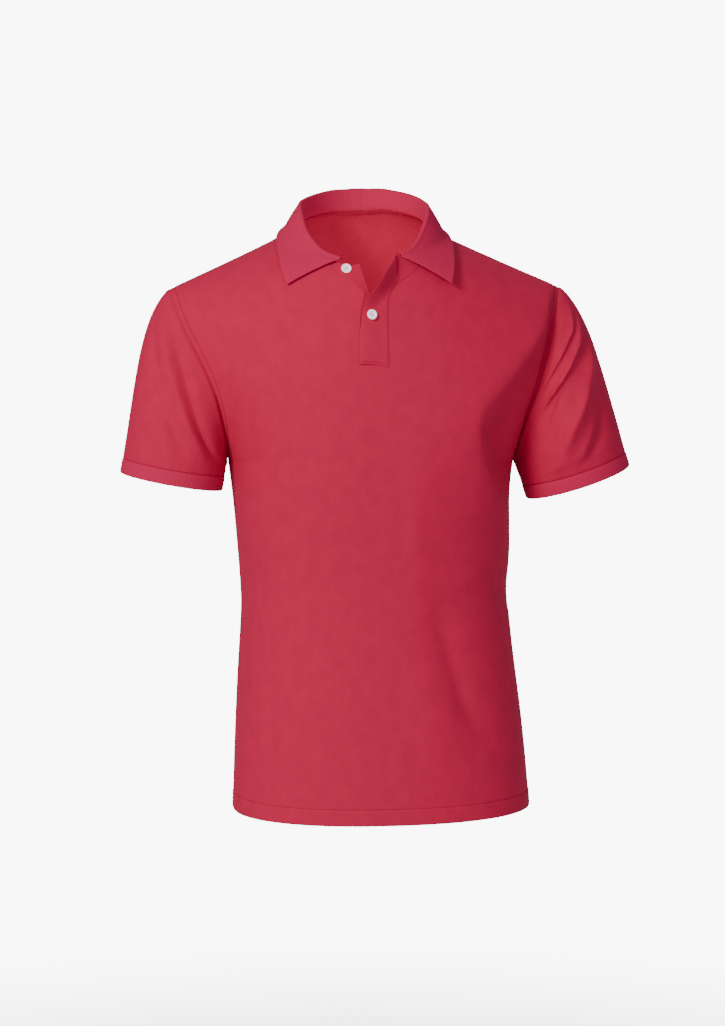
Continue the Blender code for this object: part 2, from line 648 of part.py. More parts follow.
def panel_wall(name, outer, normals, keep):
    """A panel from its grid: set back at the shoulder seam, and thicker at its turned hem."""
    outer[-1] = nudge(outer[-1], outer[-2], SEAM / 2)
    wall = np.full(len(outer), CLOTH)
    wall[:2] += HEM_EXTRA
    return make_wall(name, outer, outer - normals * wall[:, None, None], keep)


def front_at(rows, x):
    """The front's points and outward directions where its rows are at x."""
    rows, x = np.broadcast_arrays(rows, x)
    left = body_points(rows, -1, across_at(rows, -1, x))
    right = body_points(rows, 1, across_at(rows, 1, x))
    on_left = (x < body_value("mid_x", rows))[..., None]
    return np.where(on_left, left[0], right[0]), np.where(on_left, left[1], right[1])


def front_panel():
    """The front: its left part, the strip below the slit and its right part."""
    low = low_rows(0, FRONT_UNDERARM)
    rows = np.concatenate([low, front_armhole_rows()])
    halves = {}
    for side, seam in ((-1, "under_seam"), (1, "over_seam")):
        start = np.maximum(across_at(rows, side, placket_value(seam, rows)), neck_across(rows, side))
        directions, _ = seam_directions(side)
        halves[side] = half_panel(rows, side, start, len(low), directions[:len(rows) - len(low)])
    share = np.linspace(0, 1, WINDOW_STEPS + 1)[1:-1]
    left_x = placket_value("under_seam", rows)[:, None]
    right_x = placket_value("over_seam", rows)[:, None]
    middle = front_at(rows[:, None], left_x * (1 - share) + right_x * share)
    outer, normals = (np.concatenate([halves[-1][k][:, ::-1], middle[k], halves[1][k]], axis=1) for k in (0, 1))
    keep = np.ones((len(rows) - 1, outer.shape[1] - 1), dtype=bool)
    keep[len(low) + len(FRONT_STOPS):, SIDE_STEPS:SIDE_STEPS + WINDOW_STEPS] = False
    return panel_wall("front", outer, normals, keep)


def back_panel():
    """The back, whose two halves meet below the neckline."""
    low = low_rows(BACK_HEM, BACK_UNDERARM)
    rows = np.concatenate([low, back_armhole_rows()])
    halves = {}
    for side in (-1, 1):
        directions, _ = seam_directions(side)
        directions = directions[::-1][:len(rows) - len(low)]
        start = neck_across(rows, side)
        start[:-NECK_STEPS] = 0
        halves[side] = half_panel(rows, side, start, len(low), directions)
    outer, normals = (np.concatenate([halves[-1][k][:, ::-1], halves[1][k]], axis=1) for k in (0, 1))
    keep = np.ones((len(rows) - 1, outer.shape[1] - 1), dtype=bool)
    keep[-NECK_STEPS:, SIDE_STEPS] = False
    return panel_wall("back", outer, normals, keep)


def placket_strip(name, left, right, inside_at, lift, steps):
    """A strip from the foot of the placket to the neckline; left and right are columns and what is added."""
    def x_at(rows, share):
        left_x = placket_value(left[0], rows) + left[1]
        right_x = placket_value(right[0], rows) + right[1]
        return left_x * (1 - share) + right_x * share

    share = np.linspace(0, 1, steps[1] + 1)
    foot = row_at_height(PLACKET_FOOT - PLACKET_SLANT * (share - 0.5))
    top = bisect(lambda rows: -neck_distance(front_at(rows, x_at(rows, share))[0]),
                 foot, np.full_like(share, float(SHOULDER)))
    open_at, corner = (0, OVER_CORNER) if lift is over_lift else (1, UNDER_CORNER)
    top = top + corner[0] * (1 - ramp(np.abs(share - open_at), 0, corner[1]))
    part = np.linspace(0, 1, steps[0] + 1)[:, None]
    rows = foot + (top - foot) * part
    points, normals = front_at(rows, x_at(rows, share[None, :]))
    inner = points + normals * (inside_at + lift(rows, share))[..., None]
    return make_wall(name, inner + normals * PLACKET, inner)


def neck_line(angles):
    """Points of the neckline at these angles, with the body's outward directions and the way into the neck."""
    found = []
    for side in (-1, 1):
        rows = np.linspace(neck_row(FRONT_UNDERARM), neck_row(BACK_UNDERARM), 400)[1:-1]
        across = neck_across(rows, side)
        points = body_form(rows, side, across)
        turned = np.degrees(np.arctan2(points[:, 0] / NECK_HALF_WIDTH,
                                       (points[:, 1] - NECK_MIDDLE_Y) / NECK_HALF_DEPTH))
        order = slice(None) if side < 0 else slice(None, None, -1)
        found.append((turned[order], points[order], body_normal(rows, side, across)[order]))
    turned, points, normals = (np.concatenate([left, right]) for left, right in zip(*found))
    points = np.stack([np.interp(angles, turned, points[:, k]) for k in range(3)], axis=1)
    normals = unit(np.stack([np.interp(angles, turned, normals[:, k]) for k in range(3)], axis=1))
    inward = unit(np.cross(normals, np.gradient(points, axis=0)))
    middle = np.array([0, NECK_MIDDLE_Y, 0]) - points
    inward *= np.sign(np.sum(inward[:, :2] * middle[:, :2], axis=1, keepdims=True))
    return points, normals, inward


def body_tree():
    """The body's outside as a search tree, for what lies on it."""
    points = []
    faces = []
    rows = np.linspace(FRONT_UNDERARM, BACK_UNDERARM, 99)
    columns = 30
    for side in (-1, 1):
        start = neck_across(rows, side)[:, None]
        grid, _ = body_points(rows[:, None], side, start + (1 - start) * np.linspace(0, 1, columns)[None, :])
        first = len(points)
        points += [Vector(p) for p in grid.reshape(-1, 3)]
        for i in range(len(rows) - 1):
            for j in range(columns - 1):
                a = first + i * columns + j
                face = (a, a + 1, a + columns + 1, a + columns)
                faces.append(face if side > 0 else face[::-1])
    return BVHTree.FromPolygons(points, faces)


def collar_middle(angles):
    """The middle of the collar's wall, and its base directions: stations round the neck, points across."""
    base, normals, inward = neck_line(angles)
    turned = column(COLLAR_ROWS, COLLAR_NAMES, "angle")
    stand, edge_x, edge_y, edge_z = (smooth(turned, column(COLLAR_ROWS, COLLAR_NAMES, name), angles)
                                     for name in COLLAR_NAMES[1:])
    edge = np.stack([edge_x, edge_y, edge_z], axis=1)
    outward = unit(np.stack([base[:, 0] / NECK_HALF_WIDTH ** 2,
                             (base[:, 1] - NECK_MIDDLE_Y) / NECK_HALF_DEPTH ** 2, 0 * stand], axis=1))
    up = np.array([0.0, 0.0, 1.0])
    foot = base - normals * RIB / 2 + inward * COLLAR_GAP
    lean = np.minimum(STAND_LEAN, 0.3 * stand)[:, None]
    rise = (stand - FOLD_RADIUS)[:, None]
    lines = [foot, foot + inward * lean * 0.7, foot + inward * lean + up * rise * 0.5,
             foot + inward * lean + up * rise]
    centre = lines[-1] + outward * FOLD_RADIUS
    for degrees in (60, 120, 180):
        turn = math.radians(degrees)
        lines.append(centre + FOLD_RADIUS * (up * math.sin(turn) - outward * math.cos(turn)))
    exit_line = lines[-1]
    bend = (exit_line + edge) / 2 + (outward * 0.4 + up) * LEAF_BULGE
    for k in range(1, LEAF_STEPS + 1):
        w = k / LEAF_STEPS
        lines.append((1 - w) ** 2 * exit_line + 2 * w * (1 - w) * bend + w ** 2 * edge)
    middle = np.stack(lines, axis=1)
    rest_on_body(middle, angles)
    return middle, normals


def rest_on_body(middle, angles):
    """Moves the leaf's points out until they clear the body; the right leaf's front end stands off it."""
    tree = body_tree()
    for i, angle in enumerate(angles):
        lift = RIGHT_LIFT * np.clip((angle - LIFT_FROM) / (COLLAR_END - LIFT_FROM), 0, 1) ** 2
        for k in range(1, LEAF_STEPS + 1):
            j = middle.shape[1] - 1 - LEAF_STEPS + k
            place, direction, _, _ = tree.find_nearest(Vector(middle[i, j]))
            clear = LEAF_CLEAR + lift * k / LEAF_STEPS
            height = (Vector(middle[i, j]) - place).dot(direction)
            if height < clear or k == LEAF_STEPS:
                middle[i, j] += np.array(direction) * (clear - height)


def collar():
    """One ribbed piece: up from the neckline, over the fold and down to the leaf's free edge."""
    angles = np.linspace(-COLLAR_END, COLLAR_END, 2 * COLLAR_STEPS + 1)
    middle, base_normals = collar_middle(angles)
    directions = grid_normals(middle, False)
    sign = np.sign(np.sum(directions[:, 0] * base_normals, axis=1).mean())
    directions[:, 0] = base_normals * sign
    return make_wall("collar", middle + directions * RIB / 2, middle - directions * RIB / 2)


def turned_button(name):
    """A button's turned body: a rim round a shallow dish."""
    radius = BUTTON_WIDTH / 2
    top = BUTTON_HEIGHT
    profile = ((0, top * 0.72), (radius * 0.62, top * 0.72), (radius * 0.74, top), (radius * 0.90, top),
               (radius, top * 0.70), (radius * 0.94, top * 0.15), (radius * 0.80, 0), (0, 0))
    data = bpy.data.meshes.new(name)
    data.from_pydata([(x, 0, z) for x, z in profile], [(k, k + 1) for k in range(len(profile) - 1)], [])
    button = bpy.data.objects.new(name, data)
    screw = button.modifiers.new("turned", "SCREW")
    screw.axis = "Z"
    screw.steps = BUTTON_STEPS
    screw.render_steps = BUTTON_STEPS
    screw.use_merge_vertices = True
    screw.merge_threshold = 0.00001
    return button


def button_hole_cutter(name):
    """Four pins in a square, for the holes."""
    mesh = bmesh.new()
    for quarter in range(4):
        angle = math.radians(45 + 90 * quarter)
        pin = bmesh.ops.create_cone(mesh, cap_ends=True, segments=8, radius1=BUTTON_HOLE / 2,
                                    radius2=BUTTON_HOLE / 2, depth=3 * BUTTON_HEIGHT)
        reach = BUTTON_HOLE_CIRCLE / 2
        bmesh.ops.translate(mesh, verts=pin["verts"], vec=(reach * math.cos(angle), reach * math.sin(angle), 0))
    data = bpy.data.meshes.new(name)
    mesh.to_mesh(data)
    mesh.free()
    cutter = bpy.data.objects.new(name, data)
    cutter.hide_render = True
    cutter.display_type = "WIRE"
    return cutter


def place_button(thing, x, height, out, right, up, turn):
    """Sets a button on the front, leaning to the right and up, and turned on itself."""
    points, normals = front_at(row_at_height(np.array([height])), np.array([x]))
    thing.location = Vector(points[0] + normals[0] * out)
    thing.rotation_euler = Vector(normals[0] + np.array([right, 0, up])).to_track_quat("Z", "Y").to_euler()
    thing.rotation_euler.rotate_axis("Z", math.radians(turn))


def buttons(cutters):
    made = []
    for name, *place in BUTTONS:
        button = turned_button(name)
        cutter = button_hole_cutter(name + "_holes")
        cutters.objects.link(cutter)
        for thing in (button, cutter):
            place_button(thing, *place)
        cut = button.modifiers.new("holes", "BOOLEAN")
        cut.operation = "DIFFERENCE"
        cut.object = cutter
        made.append(button)
    return made


def sleeve(side, name):
    along = np.linspace(0, 1, SLEEVE_STEPS + 1)
    outer, normals = sleeve_points(side, along)
    _, sleeve_edge = seam_directions(side)
    normals[0] = sleeve_edge
    outer[0] = nudge(outer[0], outer[1], SEAM / 2)
    return make_tube(name, outer, outer - normals * CLOTH)


def cuff(side, name):
    share = round_share(sleeve_ring(side)[0])
    raised = np.array([CUFF_WIDTH, CUFF_WIDTH / 2, 0])
    outer = np.stack([cuff_ring(side, share, height) for height in raised])
    normals = grid_normals(outer, True) * -side
    outer = outer + normals * (RIB - CLOTH)
    return make_tube(name, outer, outer - normals * RIB)


def give_material(piece, look):
    """The piece's own material; a look is a colour, a roughness and a metallic value."""
    colour, roughness, metallic = look
    material = bpy.data.materials.new(piece.name)
    material.use_nodes = True
    shader = material.node_tree.nodes["Principled BSDF"]
    shader.inputs["Base Color"].default_value = (*colour, 1.0)
    shader.inputs["Roughness"].default_value = roughness
    shader.inputs["Metallic"].default_value = metallic
    piece.data.materials.append(material)


def new_collection(name):
    made = bpy.data.collections.new(name)
    bpy.context.scene.collection.children.link(made)
    return made


def main():
    for thing in list(bpy.data.objects):
        bpy.data.objects.remove(thing)
    shirt = new_collection("polo_shirt")
    cutters = new_collection("cutters")
    over = placket_strip("placket_over", ("over_edge", 0), ("over_seam", PLACKET_LAP), PLACKET_LIFT, over_lift,
                         OVER_STEPS)
    under = placket_strip("placket_under", ("under_seam", -PLACKET_LAP), ("under_edge", 0),
                          -CLOTH - PLACKET_LIFT - PLACKET, under_lift, UNDER_STEPS)
    looks = {piece: KNIT for piece in (front_panel(), back_panel(), over, under)}
    for side, word in ((-1, "left"), (1, "right")):
        looks[sleeve(side, "sleeve_" + word)] = KNIT
        looks[cuff(side, "cuff_" + word)] = RIBBED
    looks[collar()] = RIBBED
    for button in buttons(cutters):
        looks[button] = SHELL
    for piece, look in looks.items():
        shirt.objects.link(piece)
        give_material(piece, look)


main()
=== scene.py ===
"""A short-sleeved polo shirt in the shape it has when worn, with its knit, ribs, sewing and buttons.

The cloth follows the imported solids, on finer grids worked out from the same sizes. Metres, +Z up, the front
faces -Y, and "left" and "right" are the viewer's.
"""
import functools
import math

import bmesh
import bpy
import numpy as np
from bpy.props import FloatProperty, FloatVectorProperty, IntProperty, PointerProperty
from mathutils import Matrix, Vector
from mathutils.bvhtree import BVHTree


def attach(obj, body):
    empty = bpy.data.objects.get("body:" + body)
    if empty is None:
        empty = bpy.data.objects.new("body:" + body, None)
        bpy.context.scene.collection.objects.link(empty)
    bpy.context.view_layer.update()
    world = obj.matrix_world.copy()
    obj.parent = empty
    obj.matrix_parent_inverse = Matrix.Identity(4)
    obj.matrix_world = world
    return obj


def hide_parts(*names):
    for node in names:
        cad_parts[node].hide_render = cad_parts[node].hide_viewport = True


bl_info = {
    "name": "Polo shirt",
    "version": (1, 0, 0),
    "blender": (4, 5, 0),
    "location": "3D View > Sidebar > Polo shirt",
    "description": "Makes the cloth, sewing and buttons of a polo shirt, and a studio around it",
    "category": "Object",
}

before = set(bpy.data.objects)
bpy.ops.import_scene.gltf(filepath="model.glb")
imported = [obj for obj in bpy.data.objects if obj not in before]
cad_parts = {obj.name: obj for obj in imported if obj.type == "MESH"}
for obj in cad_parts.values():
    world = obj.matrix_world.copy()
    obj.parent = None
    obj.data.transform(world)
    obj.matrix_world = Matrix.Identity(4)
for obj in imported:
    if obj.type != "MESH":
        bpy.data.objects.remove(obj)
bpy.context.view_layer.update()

# The body: each row runs round half the shirt, from the middle to the side seam or the armhole.
# The rows go up the front, over the shoulder and down the back. "turn" is how far the row has rounded
# at its edge, in degrees: 90 is a full quarter of the girth.
ROW_NAMES = ("mid_x", "mid_y", "mid_z", "left_x", "right_x", "edge_y", "edge_z", "turn")
BODY_ROWS = (
    # mid_x   mid_y    mid_z    left_x   right_x  edge_y   edge_z   turn
    (0.0200, -0.122, -0.7050, -0.1590, 0.2050, 0.000, -0.7050, 90),
    (0.0160, -0.121, -0.6030, -0.1555, 0.1955, 0.000, -0.6030, 90),
    (0.0110, -0.119, -0.5240, -0.1515, 0.1845, 0.000, -0.5240, 90),
    (0.0080, -0.118, -0.4500, -0.1475, 0.1765, 0.000, -0.4500, 90),
    (0.0050, -0.122, -0.3860, -0.1515, 0.1745, 0.000, -0.3860, 90),
    (0.0020, -0.129, -0.3200, -0.1565, 0.1765, 0.000, -0.3260, 90),
    (0.0000, -0.132, -0.2600, -0.1625, 0.1825, 0.000, -0.2780, 90),
    (0.0000, -0.132, -0.2250, -0.1655, 0.1850, -0.030, -0.2600, 82),
    (0.0000, -0.128, -0.1650, -0.1730, 0.1914, -0.054, -0.2230, 70),
    (0.0000, -0.117, -0.1050, -0.1830, 0.2040, -0.061, -0.1870, 60),
    (0.0000, -0.098, -0.0480, -0.2010, 0.2145, -0.054, -0.1470, 50),
    (0.0000, -0.076, -0.0155, -0.2201, 0.2250, -0.038, -0.1090, 38),
    (0.0000, -0.043, 0.0060, -0.2280, 0.2350, -0.018, -0.0840, 24),
    (0.0000, 0.006, 0.0370, -0.2300, 0.2385, 0.006, -0.0718, 10),
    (0.0000, 0.043, 0.0310, -0.2290, 0.2365, 0.026, -0.0820, 24),
    (0.0000, 0.069, 0.0120, -0.2235, 0.2290, 0.044, -0.1070, 38),
    (0.0000, 0.095, -0.0350, -0.2110, 0.2180, 0.058, -0.1450, 50),
    (0.0000, 0.114, -0.0950, -0.1970, 0.2070, 0.064, -0.1870, 60),
    (0.0000, 0.122, -0.1550, -0.1830, 0.1950, 0.057, -0.2230, 70),
    (0.0000, 0.124, -0.2150, -0.1690, 0.1870, 0.032, -0.2600, 82),
    (0.0000, 0.122, -0.2560, -0.1625, 0.1825, 0.000, -0.2780, 90),
    (0.0020, 0.116, -0.3200, -0.1565, 0.1765, 0.000, -0.3260, 90),
    (0.0050, 0.109, -0.3860, -0.1515, 0.1745, 0.000, -0.3860, 90),
    (0.0080, 0.105, -0.4500, -0.1475, 0.1765, 0.000, -0.4500, 90),
    (0.0110, 0.110, -0.5240, -0.1515, 0.1845, 0.000, -0.5240, 90),
    (0.0160, 0.116, -0.6030, -0.1555, 0.1955, 0.000, -0.6030, 90),
    (0.0200, 0.119, -0.7050, -0.1590, 0.2050, 0.000, -0.7050, 90),
)
FRONT_UNDERARM = 6
SHOULDER = 13
BACK_UNDERARM = 20
BACK_HEM = 26
HEM_Z = -0.7050
BOXY = 2.25              # 2 is an ellipse, more is squarer
SHOULDER_BOW = 0.80      # below 1 the shoulder line sags between the neck and the armhole
EASE = 0.7               # rows over which the table's bends run into each other

# The neckline is an ellipse in plan
NECK_HALF_WIDTH = 0.080
NECK_HALF_DEPTH = 0.0785
NECK_MIDDLE_Y = -0.0135
# How far the cloth stands up round the back and sides of the neck: in the middle, and at the viewer's left
# and right. Away from the middle that is reached at the first x, kept to the second and gone by the third.
# By rows it begins at the first, is full from the second to the third, and is gone by the fourth.
NECK_RISE = (0.0025, 0.0075, 0.0092)
NECK_RISE_X = (0.036, 0.078, 0.108)
NECK_RISE_ROWS = (11.3, 12.8, 14.9, 16.5)

# The placket, by the height of the row at the front's middle
PLACKET_NAMES = ("height", "under_seam", "under_edge", "over_edge", "over_seam")
PLACKET_ROWS = (
    # height  under_seam under_edge over_edge over_seam
    (-0.172, -0.0170, 0.0145, -0.0176, 0.0170),
    (-0.120, -0.0170, 0.0110, -0.0169, 0.0170),
    (-0.106, -0.0160, 0.0070, -0.0148, 0.0170),
    (-0.092, -0.0145, 0.0025, -0.0115, 0.0170),
    (-0.081, -0.0115, -0.0010, -0.0058, 0.0175),
    (-0.073, -0.0095, -0.0037, 0.0008, 0.0195),
    (-0.065, -0.0160, -0.0063, 0.0068, 0.0235),
    (-0.055, -0.0260, -0.0090, 0.0120, 0.0310),
    (-0.042, -0.0400, -0.0122, 0.0202, 0.0440),
    (-0.028, -0.0480, -0.0155, 0.0280, 0.0560),
)
WINDOW_FOOT = -0.153     # lower end of the slit in the front
PLACKET_FOOT = -0.157    # lower end of the strip sewn over it
PLACKET_SLANT = 0.0050   # how much lower the foot's right end is than its left
PLACKET_LAP = 0.0015     # how far a strip laps on the cloth beside the slit
PLACKET_LIFT = 0.0008    # between a strip and the cloth it laps on
OVER_SEAM_AT = -0.0009   # the over strip's inside beside its seam, out from the front's outside
OVER_SEAM_SINK = 0.0013  # how much deeper its last edge lies
OVER_SEAM_LEVEL = 0.0007    # how much less deep that edge is where the neck is open
UNDER_SEAM_AT = -0.0024  # the under strip's inside at its seam, out from the front's outside

# How far the open top stands towards the viewer at its free edge, and how much of the strip's width turns
OPEN_NAMES = ("height", "over", "over_width", "under")
OPEN_ROWS = (
    # height  over    over_width under
    (-0.172, 0.0000, 0.30, 0.0000),
    (-0.118, 0.0000, 0.30, 0.0000),
    (-0.100, 0.0012, 0.38, 0.0000),
    (-0.090, 0.0045, 0.50, 0.0000),
    (-0.075, 0.0100, 0.85, 0.0000),
    (-0.058, 0.0135, 0.95, -0.0006),
    (-0.044, 0.0090, 0.54, -0.0014),
    (-0.028, 0.0026, 0.30, -0.0016),
)
OPEN_CURVE = 1.3
# The open corners stand above the neckline: by how many rows, and over what share of the strip's width
UNDER_CORNER = (0.22, 0.55)
OVER_CORNER = (0.12, 0.22)

# Sleeves: side is -1 for the viewer's left
SLEEVE_NAMES = ("side", "cuff_in_x", "cuff_in_z", "cuff_out_x", "cuff_out_z", "cuff_y", "cuff_depth")
SLEEVE_ROWS = (
    # side cuff_in_x cuff_in_z cuff_out_x cuff_out_z cuff_y cuff_depth
    (-1, -0.1705, -0.3135, -0.2920, -0.2910, -0.012, 0.058),
    (1, 0.1990, -0.3290, 0.3240, -0.2885, -0.012, 0.060),
)
SLEEVE_GIRTH = 0.40      # for its folds: the way round and the way along
SLEEVE_LENGTH = 0.20
# How a sleeve leaves the armhole and reaches the cuff: at the underarm, and how much more at the top
LEAVE_SIDEWAYS = (0.25, 0.55)
LEAVE_UPWARD = (-0.95, 0.35)
LEAVE_FORWARD = 0.25
LEAVE_LENGTH = (0.012, 0.034)
ARRIVE_LENGTH = (0.012, 0.075)
ARRIVE_FRONT = 0.020     # how much more in front and behind

# The sewing
STITCH_INSET = 0.0024    # from the placket's foot to its stitches
STRIP_LENGTH = 0.125     # the over strip's, about
STRIP_EDGE_INSET = 0.0022           # from a strip's free edge to the groove along it
STRIP_ROUND = (0.0006, 0.45)        # its edges' rounding: how wide, and how much of the thickness they lose
ARMHOLE_INSET = 0.0055   # from the armhole seam to its stitches
CUFF_INSET = 0.0014      # from the cuff's seam to its stitches
STITCHES_SUNK = 0.00015  # how deep the hem's stitches lie
ARMHOLE_STITCHES_SUNK = 0.0004      # how deep the armhole's lie in their groove
FOOT_STITCHES = (0.06, 0.93)        # their first and last share of the over strip's width
SIDE_STITCHES = (0.03, 0.60)        # their first and last share of the way up it
SIDE_STITCHES_AT = 0.90  # share of its width where they run
STITCH_ENDS = (0.12, 0.5, 0.88)     # where a stitch starts, is highest and stops, in its share of the line
BUTTONHOLE = (-0.0375, 0.0285)      # height of the row and x
BUTTONHOLE_HALF = 0.26   # half its length, in rows
BUTTONHOLE_THREADS = 27  # on each rim
BUTTONHOLE_RIMS = (-0.0016, -0.0003, 0.0003, 0.0016)    # both sides of each rim, from its middle
NECK_SEAM_ANGLE = 104    # how far round the neck the seam inside it is followed, in degrees
NECK_SEAM_WIDTH = 0.0052
# Radius of the threads that aren't the stitches' own
BUTTONHOLE_THREAD = 0.00028
BINDING_THREAD = 0.00045
NECK_THREAD = 0.00055
BUTTON_THREAD = 0.00036
PANELS = (
    # node, the other one, row of its hem, first and last row of its armholes' stitches
    ("front", "back", 0, (6.3, 12.8)),
    ("back", "front", BACK_HEM, (19.7, 13.2)),
)
PUCKER = 0.00022         # how much the turned hem is puckered
PUCKER_SIZE = (0.0045, 0.006)       # across and up
HEM_RAISED = 0.0005      # how much it stands out
HEM_DOUBLED = 0.0012     # how much thicker it is
SLEEVE_RIDGE = (0.0005, 0.006, 0.004)       # beside the armhole's seam: height, how far down, half width
ARMHOLE_STITCHES_FROM = (-0.275, -0.250)    # heights between which their groove begins
OPEN_FROM = (-0.100, -0.080)        # heights between which the placket begins to stand open
BINDING_SLANT = 0.9      # degrees round the neck between a binding thread's ends
GROOVES = {
    # where the sewing draws the cloth in: (width, depth)
    "hem_fold": (0.0009, 0.0007),
    "hem_stitches": (0.0011, 0.0005),
    "side_seam": (0.0022, 0.0009),
    "top_seam": (0.0020, 0.0006),
    "armhole_stitches": (0.0012, 0.0011),
    "sleeve_seam": (0.0022, 0.0010),
    "cuff_seam": (0.0020, 0.0007),
    "strip_edge": (0.0008, 0.00022),
    "strip_foot": (0.0008, 0.00020),
}

# Folds: a ridge is positive, and its line is walked from the first point to the last. "port" and "starboard"
# are how far it runs out on the walker's left and right, "soft" rounds its crest, and each point of the line
# has a place and a strength. "where" is the panel, or the sleeve's side. On the body a place is x and z seen
# from the front.
FOLD_NAMES = ("where", "height", "port", "starboard", "soft", "line")
BODY_FOLDS = (
    ("front", 0.0150, 0.046, 0.100, 0.08, (
        (0.216, -0.100, 0.5), (0.190, -0.138, 1.0), (0.146, -0.190, 1.0), (0.1175, -0.232, 1.0),
        (0.126, -0.277, 0.9), (0.142, -0.314, 0.85), (0.155, -0.346, 0.6), (0.163, -0.395, 0.3),
        (0.168, -0.430, 0.0))),
    ("front", -0.0060, 0.020, 0.030, 0.6, (
        (0.172, -0.185, 0.2), (0.158, -0.235, 1.0), (0.163, -0.300, 1.0), (0.168, -0.360, 0.3))),
    ("front", -0.0055, 0.022, 0.018, 0.5, (
        (0.070, -0.440, 0.0), (0.082, -0.467, 0.8), (0.097, -0.520, 1.0), (0.117, -0.578, 1.0),
        (0.155, -0.624, 0.2))),
    ("front", 0.0030, 0.030, 0.026, 0.8, (
        (0.045, -0.500, 0.0), (0.070, -0.570, 1.0), (0.098, -0.640, 0.2))),
    ("front", 0.0026, 0.040, 0.030, 0.35, (
        (0.048, -0.240, 0.0), (0.050, -0.292, 0.8), (0.052, -0.375, 1.0), (0.055, -0.458, 0.2))),
    ("front", -0.0030, 0.010, 0.012, 0.5, (
        (-0.150, -0.437, 1.0), (-0.140, -0.407, 0.9), (-0.127, -0.376, 0.0))),
    ("front", -0.0040, 0.010, 0.013, 0.5, (
        (0.168, -0.450, 1.0), (0.152, -0.422, 1.0), (0.139, -0.396, 0.0))),
    ("front", -0.0018, 0.009, 0.010, 0.5, (
        (-0.150, -0.547, 0.8), (-0.134, -0.564, 0.7), (-0.119, -0.580, 0.0))),
    ("front", -0.0035, 0.022, 0.026, 0.7, (
        (-0.178, -0.160, 0.2), (-0.155, -0.225, 1.0), (-0.128, -0.290, 0.3), (-0.110, -0.340, 0.0))),
    ("front", -0.0022, 0.020, 0.030, 0.8, (
        (-0.060, -0.080, 0.0), (-0.095, -0.120, 1.0), (-0.140, -0.150, 0.2))),
    ("back", -0.0080, 0.026, 0.022, 0.5, (
        (0.160, -0.160, 0.2), (0.120, -0.230, 1.0), (0.070, -0.320, 0.4), (0.040, -0.380, 0.0))),
    ("back", -0.0075, 0.022, 0.026, 0.5, (
        (-0.160, -0.160, 0.2), (-0.115, -0.240, 1.0), (-0.065, -0.330, 0.4), (-0.030, -0.390, 0.0))),
    ("back", 0.0030, 0.030, 0.030, 0.8, (
        (-0.010, -0.100, 0.0), (0.000, -0.200, 1.0), (-0.004, -0.330, 0.5), (0.000, -0.420, 0.0))),
    ("back", -0.0060, 0.020, 0.024, 0.6, (
        (-0.140, -0.450, 0.5), (-0.080, -0.490, 1.0), (0.000, -0.530, 0.7), (0.060, -0.545, 0.0))),
    ("back", -0.0050, 0.020, 0.020, 0.6, (
        (0.150, -0.400, 0.5), (0.090, -0.450, 1.0), (0.020, -0.480, 0.0))),
    ("back", 0.0030, 0.022, 0.022, 0.7, (
        (0.150, -0.560, 0.0), (0.110, -0.610, 1.0), (0.090, -0.680, 0.4))),
)
EDGE_FADE = 0.06         # share of a row's width over which the folds fade out towards its edge
SHOULDER_FADE = 1.5      # rows over which they fade out towards the shoulder seam
